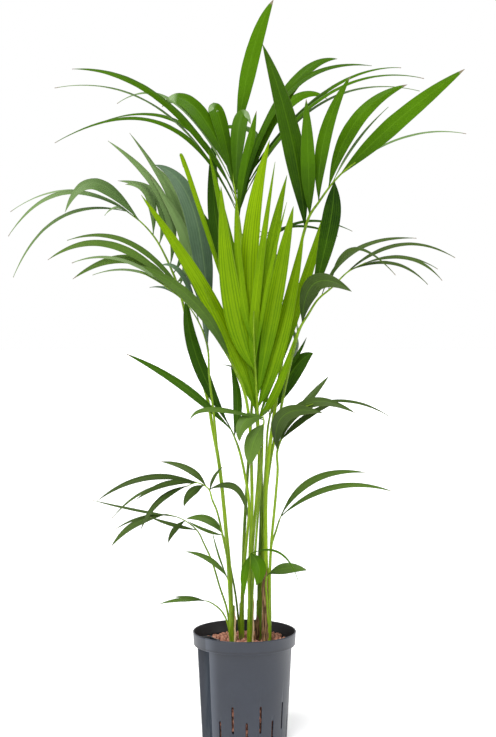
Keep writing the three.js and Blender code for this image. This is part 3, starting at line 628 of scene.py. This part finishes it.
def makeVeinGroup():
    # fine lines that run along a blade, seen both as a mask and as a raised surface
    tree, given, result = newGroup("veins", "ShaderNodeTree", {
        "Across": 0.0, "Place": "Vector", "Lines": 9.0, "Strength": 0.3, "Depth": 0.0006},
        {"Lines Mask": "Float", "Midrib": "Float", "Normal": "Vector"})
    across = given["Across"] + noiseValue(given["Place"], 60.0) * 0.05
    coarse = (across * (given["Lines"] * math.pi)).math("COSINE")
    fine = (across * (given["Lines"] * (3.7 * math.pi))).math("COSINE")
    sharp = (coarse * 0.5 + 0.5) ** 4.0
    lines = (fine * 0.5 + 0.5).math("MULTIPLY_ADD", 0.3, sharp * 0.7, clamp=True)
    midrib = abs(given["Across"]).ramp(0.03, 0.12, 1.0, 0.0)
    join(lines, result["Lines Mask"])
    join(midrib, result["Midrib"])
    join(bump(midrib * 0.8 + lines, given["Strength"], given["Depth"]), result["Normal"])
    return tree


def makeMottleGroup():
    # soft blotches over fine speckles
    tree, given, result = newGroup("mottle", "ShaderNodeTree", {
        "Place": "Vector", "Scale": 20.0, "Speckle": 0.3}, {"Mask": "Float"})
    broad = noiseValue(given["Place"], given["Scale"])
    fine = noiseValue(given["Place"], given["Scale"] * 14.0, 2.0)
    join(((fine - 0.5) * given["Speckle"] + broad).ramp(0.3, 0.7), result["Mask"])
    return tree


def makeDryGroup():
    # where a blade has dried: its very tip, and the margin near it
    tree, given, result = newGroup("dryTips", "ShaderNodeTree", {
        "Across": 0.0, "Along": 0.0, "Tint": 0.5, "Place": "Vector", "Reach": 0.05},
        {"Mask": "Float"})
    ragged = noiseValue(given["Place"], 90.0) * 0.05 - 0.025
    start = 1.0 - given["Reach"] * (given["Tint"] * 1.6 + 0.2) + ragged
    tip = given["Along"].ramp(start, start + 0.03)
    margin = abs(given["Across"]).ramp(0.9, 1.0, 0.0, 0.6) * given["Along"].ramp(0.45, 1.0)
    join(tip.math("MAXIMUM", margin, clamp=True), result["Mask"])
    return tree


# Materials.
veinGroup, mottleGroup, dryGroup = makeVeinGroup(), makeMottleGroup(), makeDryGroup()
print("shader groups ready")


def newMaterial(name):
    material = bpy.data.materials.new(name)
    material.use_nodes = True
    tree = material.node_tree
    return material, tree, objectPlace(tree)


def dress(tree, colour, roughness, normal, gloss):
    shader = next(node for node in tree.nodes if node.type == "BSDF_PRINCIPLED")
    join(colour, shader.inputs["Base Color"])
    join(roughness, shader.inputs["Roughness"])
    join(gloss, shader.inputs["Specular IOR Level"])
    if normal:
        join(normal, shader.inputs["Normal"])
    return shader


def mottle(place, look):
    return useGroup(place.tree, mottleGroup, {
        "Place": place, "Scale": look["blotchScale"], "Speckle": look["speckle"]})["Mask"]


def bladeMaterial(name, look):
    # a leaf blade: two greens, a paler underside, veins, a lighter midrib and dry tips
    material, tree, place = newMaterial(name)
    across, along, side, tint, pale = meshValues(tree, "across", "along", "side", "tint", "pale")
    veins = useGroup(tree, veinGroup, {
        "Across": across, "Place": place, "Lines": look["lines"], "Strength": look["relief"]})
    blotches = mottle(place, look)
    dry = useGroup(tree, dryGroup, {"Across": across, "Along": along, "Tint": tint,
                                    "Place": place, "Reach": look["dryReach"]})["Mask"]
    # painted shade: each leaflet darkens towards its foot, where the leaflets crowd together
    footShade = along.ramp(0.0, look["footShadeTo"]) * look["footShadeShare"]
    shade = tint * look["tintShare"] + (blotches * look["blotchShare"] + footShade)
    upper = shade.mix(look["dark"], look["light"])
    upper = (veins["Lines Mask"] * look["lineShare"]).mix(upper, look["line"])
    upper = (veins["Midrib"] * look["ribShare"]).mix(upper, look["rib"])
    under = (veins["Lines Mask"] * look["underShare"]).mix(look["under"], look["light"])
    isUnder = side.ramp(-0.05, 0.05, 1.0, 0.0)
    colour = pale.mix(isUnder.mix(upper, under), look["pale"])
    dress(tree, dry.mix(colour, look["dry"]),
          isUnder * look["underRough"] + (blotches * 0.12 + look["roughness"]),
          veins["Normal"], look["gloss"])
    return material


def stalkMaterial(name, look):
    # a stalk: streaks along it, a base that turns brown and fibrous below look["brownTop"]
    material, tree, place = newMaterial(name)
    drawn = stretched(place, 1.0, 1.0, look["drawnOut"])
    streaks, broad = noiseValue(drawn, look["streakScale"]), mottle(drawn, look)
    fresh = (meshValues(tree, "tint")[0] * 0.6 + broad * 0.4).mix(look["dark"], look["light"])
    fresh = streaks.ramp(0.52, 0.68, 0.0, look["streakShare"]).mix(fresh, look["streak"])
    ragged = broad * look["ragged"] + place.parts()[2]
    brown = ragged.ramp(look["brownTop"], look["brownTop"] + look["brownFade"], 1.0, 0.0)
    bark = streaks.ramp(0.4, 0.62).mix(look["bark"], look["fibre"])
    dress(tree, brown.mix(fresh, bark), brown * 0.35 + look["roughness"],
          bump(streaks + broad * 0.5, *look["relief"]), look["gloss"])
    return material


def clayMaterial(name, look):
    # fired clay: dusty, pitted, each pebble with a tone of its own
    material, tree, place = newMaterial(name)
    blotches = mottle(place, look)
    pits = made(tree, "ShaderNodeTexVoronoi", {
        "Vector": place, "Scale": look["pitScale"]}, "Distance")
    body = meshValues(tree, "tint")[0].mix(look["dark"], look["light"])
    body = (blotches * look["dustShare"]).mix(body, look["dust"])
    dress(tree, pits.ramp(0.0, look["pitWidth"], look["pitShare"], 0.0).mix(body, look["pit"]),
          look["roughness"], bump(pits + blotches, *look["relief"]), look["gloss"])
    return material


def plasticMaterial(name, look):
    # moulded plastic with a faint grain, dust and fine turning marks
    material, tree, place = newMaterial(name)
    blotches, grains = mottle(place, look), noiseValue(place, look["grainScale"], 2.0)
    wide = look["ringsOut"]
    rings = noiseValue(stretched(place, wide, wide, 1.0), look["ringScale"], 2.0)
    body = (blotches * 0.5).mix(look["dark"], look["light"])
    body = grains.ramp(0.62, 0.75, 0.0, look["dustShare"]).mix(body, look["dust"])
    x, y, z = place.parts()
    radius = (x ** 2.0 + y ** 2.0).math("SQRT")
    # painted highlight on the wall beside the recess, and painted light in the recess itself
    turn, corner = x.math("ARCTAN2", y * -1.0), math.radians(recess["to"])
    edgeHighlightFade = turn.ramp(corner, corner + math.radians(look["edgeWidth"]), look["edgeHighlightShare"], 0.0)
    edge = edgeHighlightFade * turn.ramp(corner - math.radians(look["edgeStart"]), corner)
    body = edge.mix(body, look["edge"])
    recessPaintedLight = radius.ramp(*look["recessDepth"], look["recessLightShare"], 0.0) * z.ramp(
        look["insideFrom"] - 0.002, look["insideFrom"], 1.0, 0.0)
    body = recessPaintedLight.mix(body, look["recess"])
    # the inner wall, above the filling, is darker
    inside = radius.ramp(look["insideRadius"], look["insideRadius"] + 0.0004, 1.0, 0.0) * z.ramp(
        look["insideFrom"], look["insideFrom"] + 0.001)
    dress(tree, inside.mix(body, look["inside"]), blotches * 0.1 + look["roughness"],
          bump(rings * 0.6 + grains, *look["relief"]), look["gloss"])
    return material


# The pot.
plasticLook = {
    "dark": rgb(31, 36, 47), "light": rgb(42, 48, 60), "dust": rgb(70, 74, 85),
    "dustShare": 0.25, "inside": rgb(12, 11, 14), "insideFrom": 0.1685, "insideRadius": 0.0883,
    # the recess colour is painted light in the recess, and the edge colour a painted highlight
    # beside it
    "recess": rgb(62, 72, 82), "recessLightShare": 0.5, "recessDepth": (0.064, 0.076),
    "edge": rgb(68, 74, 85), "edgeHighlightShare": 0.7, "edgeStart": 2, "edgeWidth": 16,
    "roughness": 0.34, "gloss": 0.5, "blotchScale": 9.0, "speckle": 0.25, "grainScale": 1600.0,
    "ringScale": 500.0, "ringsOut": 0.05, "relief": (0.12, 0.0004),
}


def bodyRadius(z):
    return pot["footRadius"] + (pot["neckRadius"] - pot["footRadius"]) * z / pot["neckHeight"]


def recessPrism(name, margin, bottom, top):
    # the room of the recess, larger by the margin at its back and its sides
    turn = math.degrees(margin / recess["innerRadius"])
    first, last, steps = recess["from"] - turn, recess["to"] + turn, recess["steps"]
    angles = [math.radians(first + (last - first) * i / steps) for i in range(steps + 1)]
    outline = [onCircle(recess["outerRadius"], angle) for angle in angles]
    outline += [onCircle(recess["innerRadius"] - margin, angle) for angle in reversed(angles)]
    points = [(x * mm, y * mm, z * mm) for z in (bottom, top) for x, y in outline]
    return addObject(name, turnOutward(meshFrom(name, points, [], prismFaces(len(outline)))))


def slotCutter(index):
    # a slot with round ends, cut through the wall
    bottom, top = slots["tall"] if index % 2 else slots["low"]
    half = slots["width"] / 2
    angle = math.radians(slots["firstAngle"] + 360 / slots["count"] * index)
    outline = []
    for centre, first in ((top - half, 0), (bottom + half, math.pi)):
        for i in range(slots["steps"] + 1):
            turn = first + math.pi * i / slots["steps"]
            outline.append((half * math.cos(turn), centre + half * math.sin(turn)))
    radius = bodyRadius((bottom + top) / 2)
    points = [((x * math.cos(angle) + depth * math.sin(angle)) * mm,
               (x * math.sin(angle) - depth * math.cos(angle)) * mm, z * mm)
              for depth in (radius + slots["outward"], radius - slots["inward"])
              for x, z in outline]
    return points, prismFaces(len(outline))


def makePot():
    foot, neck, neckHeight = pot["footRadius"], pot["neckRadius"], pot["neckHeight"]
    rim, height, wall = pot["rimRadius"], pot["height"], pot["wall"]
    inner, ledge = rim - pot["rimWall"], neckHeight + wall
    outside = [
        (0, 0), (60, 0), (foot - 3, 0), (foot - 1.2, 0.5), (foot - 0.3, 1.6), (foot, 3),
        *((bodyRadius(z), z) for z in (60, 120, neckHeight - 1)),
        (neck + 0.4, neckHeight), (rim - 2.2, neckHeight), (rim - 1.6, neckHeight + 0.6),
        (rim - 0.5, height - 3), (rim, height - 2.2), (rim, height - 1),
        (rim - 0.4, height - 0.3), (rim - 1, height),
    ]
    inside = [
        (inner + 0.6, height), (inner, height - 0.5), (inner - 0.4, height - 2),
        (inner - pot["rimFlare"], ledge + 1), (neck - wall, ledge),
        (foot - wall, pot["floor"]), (0, pot["floor"]),
    ]
    body = addObject("pot", lathe("pot", outside + inside, pot["segments"]))
    full = addObject("full", lathe("full", outside + [(0, height)], pot["segments"]))
    guide = recessPrism("guide", wall, 0, recess["wallTop"])
    carve(guide, full, "INTERSECT")
    carve(body, guide, "UNION")
    carve(body, recessPrism("hollow", 0, -1, height + 1), "DIFFERENCE")
    points, faces = [], []
    for index in range(slots["count"]):
        more, sides = slotCutter(index)
        faces += [tuple(len(points) + i for i in side) for side in sides]
        points += more
    cutter = addObject("slots", turnOutward(meshFrom("slots", points, [], faces)))
    carve(body, cutter, "DIFFERENCE")
    modify(body, "BEVEL", width=pot["softEdge"] * mm, segments=2, limit_method="ANGLE",
           angle_limit=math.radians(pot["softFrom"]), use_clamp_overlap=True)
    wear(body, plasticMaterial("potPlastic", plasticLook))
    for face in body.data.polygons:
        face.use_smooth = True
    body.data.set_sharp_from_angle(angle=math.radians(pot["sharpFrom"]))
    finishPiece(body, "pot_plastic", "culture_pot")


makePot()


# The clay pebbles.
clayLook = {
    "dark": rgb(150, 88, 68), "light": rgb(196, 132, 106), "dust": rgb(214, 166, 142),
    "dustShare": 0.55, "pit": rgb(96, 52, 40), "pitShare": 0.7, "pitScale": 900.0,
    "pitWidth": 0.22, "roughness": 0.95, "gloss": 0.5, "blotchScale": 180.0, "speckle": 0.8,
    "relief": (0.7, 0.0008),
}
pebbleLook = {
    "shapes": 7, "radius": 4.6, "spans": ((0.85, 1.15), (0.8, 1.0), (0.62, 0.85)), "bulge": 0.16,
    "spacing": 6.2, "smallest": 0.72, "largest": 1.12, "seed": 5,
}
ground = {"rings": 26, "sectors": 120, "topInset": 5.5, "sideInset": 5.2, "levels": 17,
          "firstLevel": 4, "levelStep": 5, "lift": 3, "besideSlot": 6, "besideRecess": 7,
          "besideStem": 1.5}


def inRecess(x, y, margin):
    angle = math.degrees(math.atan2(x, -y))
    turn = math.degrees(margin / recess["innerRadius"])
    return (recess["from"] - turn < angle < recess["to"] + turn
            and math.hypot(x, y) > recess["innerRadius"] - margin)


def nearStem(x, y, margin):
    return any(math.hypot(x - palm["foot"][0], y - palm["foot"][1]) < palm["radius"] + margin
               for palm in palms.values())


def bedHeight(x, y):
    # the top of the bed rises a little to the right and the back, and drops at the wall
    rise = bed["riseRight"] * smoothStep(-50, 50, x) + bed["riseBack"] * smoothStep(-20, 60, y)
    edge = bed["edgeDrop"] * smoothStep(58, 74, math.hypot(x, y))
    lumps = bed["lumps"] * noise.noise(Vector((x, y, 0)) * 0.05)
    return bed["level"] - bed["under"] + rise - edge + lumps


def makeGround():
    # the surface that the pebbles lie on: the top, and the side behind the slots
    rings, sectors, beside = ground["rings"], ground["sectors"], ground["besideRecess"]
    angles = [2 * math.pi * i / sectors for i in range(sectors)]
    topRadius = bodyRadius(bed["level"]) - pot["wall"] - ground["topInset"]
    points, faces = [(0, 0, bedHeight(0, 0) * mm)], []
    for ring in range(1, rings + 1):
        for angle in angles:
            x, y = onCircle(topRadius * ring / rings, angle)
            points.append((x * mm, y * mm, bedHeight(x, y) * mm))
    scatter = [0.0 if inRecess(x / mm, y / mm, beside)
               or nearStem(x / mm, y / mm, ground["besideStem"]) else 1.0 for x, y, z in points]
    pitch = 360 / slots["count"]
    for step in range(ground["levels"]):
        level = ground["firstLevel"] + ground["levelStep"] * step
        radius = bodyRadius(level) - pot["wall"] - ground["sideInset"]
        for angle in angles:
            x, y = onCircle(radius, angle)
            points.append((x * mm, y * mm, (level + ground["lift"]) * mm))
            off = (math.degrees(angle) - slots["firstAngle"] + pitch / 2) % pitch - pitch / 2
            near = abs(off) < ground["besideSlot"]
            scatter.append(1.0 if near and not inRecess(x, y, beside) else 0.0)
    for i in range(sectors):
        j = (i + 1) % sectors
        faces.append((0, 1 + i, 1 + j))
        for ring in range(rings - 1):
            low, high = 1 + ring * sectors, 1 + (ring + 1) * sectors
            faces.append((low + i, high + i, high + j, low + j))
        for level in range(ground["levels"] - 1):
            low, high = 1 + (rings + level) * sectors, 1 + (rings + level + 1) * sectors
            faces.append((low + i, low + j, high + j, high + i))
    mesh = meshFrom("ground", points, [], faces)
    storeNumbers(mesh, "scatter", scatter)
    return addObject("pebbles", mesh)


def makePebbleShapes():
    shapes = bpy.data.collections.new("pebbleShapes")
    rand = random.Random(pebbleLook["seed"])
    for index in range(pebbleLook["shapes"]):
        form = bmesh.new()
        bmesh.ops.create_icosphere(form, subdivisions=2, radius=1)
        stretch = Vector([rand.uniform(*span) for span in pebbleLook["spans"]])
        shift = Vector((index * 3.7, 0, 0))
        for vertex in form.verts:
            bulge = 1 + pebbleLook["bulge"] * noise.noise(vertex.co * 1.4 + shift)
            vertex.co = vertex.co * bulge * stretch * pebbleLook["radius"] * mm
        mesh = bpy.data.meshes.new(f"pebble{index}")
        form.to_mesh(mesh)
        form.free()
        shapes.objects.link(bpy.data.objects.new(f"pebble{index}", mesh))
    return shapes


def makeBedCore(material):
    # the mass below the top layer, in place of the imported one, out of sight but for the dark
    # between the pebbles
    top, low = bed["level"] - 4, pot["floor"] + bed["clearance"]
    inner = bodyRadius(top) - pot["wall"]
    profile = [(0, low), (bodyRadius(low) - pot["wall"] - 7, low), (inner - 7, top - 6),
               (inner - 11, top - 2), (0, top - 1)]
    core = addObject("claybed", lathe("claybed", profile, 96))
    carve(core, recessPrism("hollow", pot["wall"] + 1, -1, pot["height"]), "DIFFERENCE")
    storeNumbers(core.data, "tint", [0.1] * len(core.data.vertices))
    wear(core, material)
    finishPiece(core, "clay", "clay_pebbles")


def makePebbles():
    material = clayMaterial("clay", clayLook)
    makeBedCore(material)
    pebbles = makeGround()
    runTree(pebbles, makePebbleTree(), {
        "Material": material, "Pebbles": makePebbleShapes(),
        "Spacing": pebbleLook["spacing"] * mm, "Smallest": pebbleLook["smallest"],
        "Largest": pebbleLook["largest"], "Seed": pebbleLook["seed"]})
    finishPiece(pebbles, "clay", "clay_pebbles")


makePebbles()


# Stalks.
stalkLook = {
    "dark": rgb(46, 76, 6), "light": rgb(128, 160, 14), "streak": rgb(154, 178, 50),
    "streakShare": 0.35, "bark": rgb(78, 54, 34), "fibre": rgb(150, 122, 92),
    "roughness": 0.45, "gloss": 0.2, "brownTop": 0.172, "brownFade": 0.02, "ragged": 0.03,
    "blotchScale": 90.0, "speckle": 0.5, "streakScale": 700.0, "drawnOut": 0.06,
    "relief": (0.35, 0.0006),
}
stalkForm = {"stemFrom": 120, "stemPoints": 21, "stemTaper": 0.75, "stalkPoints": 50,
             "ribPoints": 30, "ribTaper": 0.45, "ribSides": 14, "facing": Vector((0.3, 1, 0))}
stalkTree, bladeTree = makeStalkTree(), makeBladeTree()
stalkGreen = stalkMaterial("stalkGreen", stalkLook)
print("geometry trees ready")


def addStalk(chains, places, fromGirth, toGirth, tint):
    last = len(places) - 1
    facings = []
    for i in range(last + 1):
        tangent = (places[min(i + 1, last)] - places[max(i - 1, 0)]).normalized()
        facings.append(square(stalkForm["facing"], tangent))
    girths = [fromGirth + (toGirth - fromGirth) * i / last for i in range(last + 1)]
    chains.add(places, girths, facings, tint)


def makeStalks(name, seed):
    palm = palms[name]
    rand = random.Random(seed)
    chains = Chains()
    low, last = stalkForm["stemFrom"], stalkForm["stemPoints"] - 1
    stem = [Vector((*palm["foot"], low + (palm["sheathTop"] - low) * i / last))
            for i in range(last + 1)]
    addStalk(chains, stem, palm["radius"], palm["radius"] * stalkForm["stemTaper"], rand.random())
    for leaf in leaves.values():
        if leaf["palm"] == name:
            run = curveRun(leafPoints(leaf), 0, stalkEnd(leaf), stalkForm["stalkPoints"])
            addStalk(chains, run, *leaf["girth"], rand.random())
    item = chains.item(f"{name}Stalks")
    runTree(item, stalkTree, {"Material": stalkGreen, "Seed": float(seed)})
    finishPiece(item, "stalk", f"{name}_stalks")


for order, palmName in enumerate(palms):
    makeStalks(palmName, order + 1)

barkLook = {**stalkLook, "brownTop": 1.0, "bark": rgb(66, 46, 30),
            "fibre": rgb(150, 120, 84), "roughness": 0.6}
strawLook = {**barkLook, "bark": rgb(166, 140, 96), "fibre": rgb(214, 190, 150)}
sheathLooks = {"bark": stalkMaterial("dryBark", barkLook),
               "straw": stalkMaterial("dryStraw", strawLook)}
# dried leaf bases that still cling to the stems: where, over what height, how wide, which look
sheaths = [
    {"palm": "palm_5", "at": (36, -15.5), "span": (166, 306), "half": 6.0, "look": "bark"},
    {"palm": "palm_4", "at": (22, 5.5), "span": (166, 216), "half": 4.4, "look": "bark"},
    {"palm": "palm_3", "at": (14.2, -14.5), "span": (166, 262), "half": 2.4, "look": "straw"},
    {"palm": "palm_1", "at": (-16.6, -12.5), "span": (166, 228), "half": 1.8, "look": "straw"},
]
sheathForm = {"Fold": 0.4, "Ripple": 0.3, "Half Thickness": 0.0004}
sheathRun = {"points": 30, "lean": 0.5, "topWidth": 0.12, "narrowing": 3.5}


def makeSheath(sheath, seed):
    # it leans to and fro a little, keeps its width for most of its height and narrows to its top
    chains = Chains()
    x, y = sheath["at"]
    low, high = sheath["span"]
    last = sheathRun["points"] - 1
    places, girths = [], []
    for i in range(last + 1):
        lean = sheathRun["lean"] * math.sin(i * 0.5 + seed)
        places.append(Vector((x + lean, y, low + (high - low) * i / last)))
        fade = sheathRun["topWidth"] + sheathRun["narrowing"] * (1 - i / last)
        girths.append(sheath["half"] * min(1, fade))
    chains.add(places, girths, [Vector((0, -1, 0))] * len(places), seed / 5)
    item = chains.item(f"{sheath['palm']}Sheath")
    runTree(item, bladeTree, {
        "Material": sheathLooks[sheath["look"]], "Seed": float(seed), **sheathForm})
    finishPiece(item, "stalk", f"{sheath['palm']}_stalks")


for order, drySheath in enumerate(sheaths):
    makeSheath(drySheath, order + 1)


# Leaves.
leafLooks = {}
leafLooks["glossy"] = {
    "dark": rgb(6, 34, 0), "light": rgb(68, 108, 0), "line": rgb(82, 122, 8),
    "lineShare": 0.22, "rib": rgb(96, 136, 30), "ribShare": 0.18,
    "under": rgb(96, 128, 58), "underShare": 0.35, "underRough": 0.15,
    "pale": rgb(138, 160, 116), "dry": rgb(124, 112, 92), "dryReach": 0.03,
    "roughness": 0.34, "gloss": 0.06, "lines": 9.0, "relief": 0.22, "blotchScale": 16.0,
    # the last two set how strong the painted shade towards each leaflet's foot is, and how far it
    # goes
    "speckle": 0.35, "tintShare": 0.4, "blotchShare": 0.2, "footShadeShare": 0.4, "footShadeTo": 0.6,
}
leafLooks["deep"] = {
    **leafLooks["glossy"], "dark": rgb(16, 42, 0), "light": rgb(52, 86, 10),
    "line": rgb(70, 108, 20)}
leafLooks["grey"] = {
    **leafLooks["glossy"], "gloss": 0.16, "dark": rgb(58, 86, 34),
    "light": rgb(112, 138, 82), "line": rgb(126, 152, 100), "rib": rgb(120, 146, 94),
    "under": rgb(104, 134, 80), "roughness": 0.42, "footShadeTo": 0.8}
leafLooks["blue"] = {
    **leafLooks["grey"], "gloss": 0.24, "dark": rgb(38, 60, 42), "light": rgb(88, 114, 82),
    "line": rgb(98, 124, 98)}
leafLooks["mid"] = {
    **leafLooks["glossy"], "gloss": 0.1, "dark": rgb(30, 56, 8), "light": rgb(82, 110, 40),
    "line": rgb(104, 132, 60), "roughness": 0.38}
leafLooks["dusky"] = {
    **leafLooks["mid"], "dark": rgb(26, 44, 8), "light": rgb(66, 86, 36),
    "line": rgb(84, 104, 50)}
leafLooks["young"] = {
    **leafLooks["glossy"], "dark": rgb(52, 92, 0), "light": rgb(128, 160, 0),
    "line": rgb(56, 96, 0), "lineShare": 0.85, "rib": rgb(146, 178, 20),
    "under": rgb(128, 160, 40), "roughness": 0.42, "lines": 7.0, "dryReach": 0.01}
leafMaterials = {title: bladeMaterial(f"leaf{title.title()}", look)
                 for title, look in leafLooks.items()}
leafTones = {
    "crown": "glossy", "right_high": "glossy", "ankle_front": "glossy", "left_high": "grey",
    "left_inner": "blue", "right_mid": "dusky", "right_low": "dusky", "knee_left": "dusky",
    "knee_back": "dusky", "back_high": "deep", "back_low": "deep", "left_low": "deep",
    "young": "young",
}
# slim leaflets look paler, and so does one that folds over beyond its highest point, which it
# does from this peak on; some leaflets are set lighter or darker, by their place in the leaf's row
slim = {"widest": 12, "pale": 0.45, "leaves": ("crown", "right_high", "left_high", "left_mid")}
folds = {"fromPeak": 1.05, "pale": 0.8, "leaves": ("crown",), "before": 0.03, "beyond": 0.05}
leafletTints = {
    "young": {2: -0.5}, "crown": {10: 1.3, 6: 0.6}, "right_high": {0: -0.1, 5: 0.9, 7: -0.7}}
leafletForm = {"longSteps": 34, "shortSteps": 26, "longFrom": 120, "widestAt": 0.42,
               "footGirth": 1.2, "tipGirth": 0.3}


def bladeWidth(u):
    # the share of a leaflet's full width that it has at u, from 0 at its foot to 1 at its tip
    widestAt = leafletForm["widestAt"]
    if u < widestAt:
        return math.sin(math.pi / 2 * u / widestAt)
    return math.cos(math.pi / 2 * (u - widestAt) / (1 - widestAt)) ** 0.8


def addLeaflet(chains, points, start, leaflet, tint, pale, farPale):
    along, tipX, tipY, tipZ, rise, peak, width, turn = leaflet
    root = curvePoint(points, start + (1 - start) * (0.02 + 0.96 * along))
    tip = Vector((tipX, tipY, tipZ))
    chord = tip - root
    span = math.hypot(chord.x, chord.z)
    lean = 1 if chord.x >= 0 else -1
    up = Vector((-chord.z / span * lean, 0, chord.x / span * lean))
    knee = root + chord * peak + up * (2 * rise)
    long = chord.length > leafletForm["longFrom"]
    steps = leafletForm["longSteps" if long else "shortSteps"]
    shares = [step / steps for step in range(steps + 1)]
    places, girths, facings = [], [], []
    for u in shares:
        places.append(root * (1 - u) ** 2 + knee * (2 * u * (1 - u)) + tip * u * u)
        tangent = ((knee - root) * (1 - u) + (tip - knee) * u).normalized()
        back = square(Vector((0, 1, 0)), tangent)
        facings.append(tangent.cross(back) * (lean * math.cos(math.radians(turn)))
                       - back * math.sin(math.radians(turn)))
        least = leafletForm["footGirth" if u < leafletForm["widestAt"] else "tipGirth"]
        girths.append(max(least, width / 2 * bladeWidth(u)))
    crest = max(zip(shares, places), key=lambda pair: pair[1].z)[0]
    pales = [pale + (farPale - pale) * smoothStep(
        crest - folds["before"], crest + folds["beyond"], u) for u in shares]
    chains.add(places, girths, facings, tint, pales)


def makeLeaf(name, seed):
    leaf = leaves[name]
    rand = random.Random(seed)
    points, start = leafPoints(leaf), stalkEnd(leaf)
    chains, ribs = Chains(), Chains()
    for place, leaflet in enumerate(leaf["leaflets"]):
        width, peak = leaflet[6], leaflet[5]
        pale = slim["pale"] if width <= slim["widest"] and name in slim["leaves"] else 0.0
        folded = name in folds["leaves"] and peak >= folds["fromPeak"]
        tint = leafletTints.get(name, {}).get(place, rand.random())
        addLeaflet(chains, points, start, leaflet, tint, pale, folds["pale"] if folded else pale)
    girth = leaf["girth"][1]
    run = curveRun(points, start, 1, stalkForm["ribPoints"])
    addStalk(ribs, run, girth, stalkForm["ribTaper"] * girth, rand.random())
    rib = ribs.item(f"{name}Rib")
    runTree(rib, stalkTree, {
        "Material": stalkGreen, "Seed": float(seed), "Profile Points": stalkForm["ribSides"]})
    finishPiece(rib, "stalk", f"leaf_{name}")
    item = chains.item(f"{name}Leaf")
    tone = leafTones.get(name, "mid")
    runTree(item, bladeTree, {"Material": leafMaterials[tone], "Seed": float(seed)})
    finishPiece(item, "young_leaf" if tone == "young" else "leaf", f"leaf_{name}")


for order, leafName in enumerate(leaves):
    makeLeaf(leafName, order + 11)


# Studio.
studio = {
    "wall": (1.0, 1.0, 1.0, 1.0), "ceiling": (0.42, 0.42, 0.43, 1.0), "wallTop": 0.30,
    "ceilingFade": 0.2, "floorHalf": 40, "floorRough": 0.9, "floorGlow": 0.35,
    "keyStrength": 3.0, "keySoftness": 38, "keyAim": (38, 0, -32),
    "fillPower": 9, "fillPlace": (1.7, -1.2, 1.3), "fillSize": 1.3, "fillAim": (0, 0, 0.6),
}


def makeStudio():
    # white paper underfoot, a white wall all round, a dimmer ceiling and one big soft lamp
    half = studio["floorHalf"]
    corners = [(-half, -half, 0), (half, -half, 0), (half, half, 0), (-half, half, 0)]
    floor = addObject("floor", meshFrom("floor", corners, [], [(0, 1, 2, 3)]))
    material, tree, place = newMaterial("floorPaper")
    paper = noiseValue(place, 3.0).mix((0.97, 0.97, 0.97, 1), (0.99, 0.99, 0.99, 1))
    shader = dress(tree, paper, studio["floorRough"], None, 0.5)
    join(studio["wall"], shader.inputs["Emission Color"])
    join(studio["floorGlow"], shader.inputs["Emission Strength"])
    wear(floor, material)
    world = bpy.data.worlds.new("studio")
    scene.world = world
    world.use_nodes = True
    room = world.node_tree
    backdrop = next(node for node in room.nodes if node.type == "BACKGROUND")
    height = abs(made(room, "ShaderNodeTexCoord", None, "Generated").parts()[2])
    share = height.ramp(studio["wallTop"], studio["wallTop"] + studio["ceilingFade"])
    join(share.mix(studio["wall"], studio["ceiling"]), backdrop.inputs["Color"])
    key = bpy.data.lights.new("key", "SUN")
    key.energy = studio["keyStrength"]
    key.angle = math.radians(studio["keySoftness"])
    keyItem = addObject("key", key)
    keyItem.rotation_euler = [math.radians(angle) for angle in studio["keyAim"]]
    fill = bpy.data.lights.new("fill", "AREA")
    fill.size, fill.energy = studio["fillSize"], studio["fillPower"]
    fillItem = addObject("fill", fill)
    fillItem.location = studio["fillPlace"]
    aim = Vector(studio["fillAim"]) - Vector(studio["fillPlace"])
    fillItem.rotation_euler = aim.to_track_quat("-Z", "Y").to_euler()


makeStudio()

camera = {"place": (0.0061, -2.35, 0.717), "pitch": 1.713, "lens": 66.24, "sensor": 36}
cameraData = bpy.data.cameras.new("camera")
cameraData.lens = camera["lens"]
cameraData.sensor_width = camera["sensor"]
cameraItem = addObject("camera", cameraData)
cameraItem.location = camera["place"]
cameraItem.rotation_euler = (math.radians(90 - camera["pitch"]), 0, 0)
scene.camera = cameraItem
scene.view_settings.view_transform = "Standard"
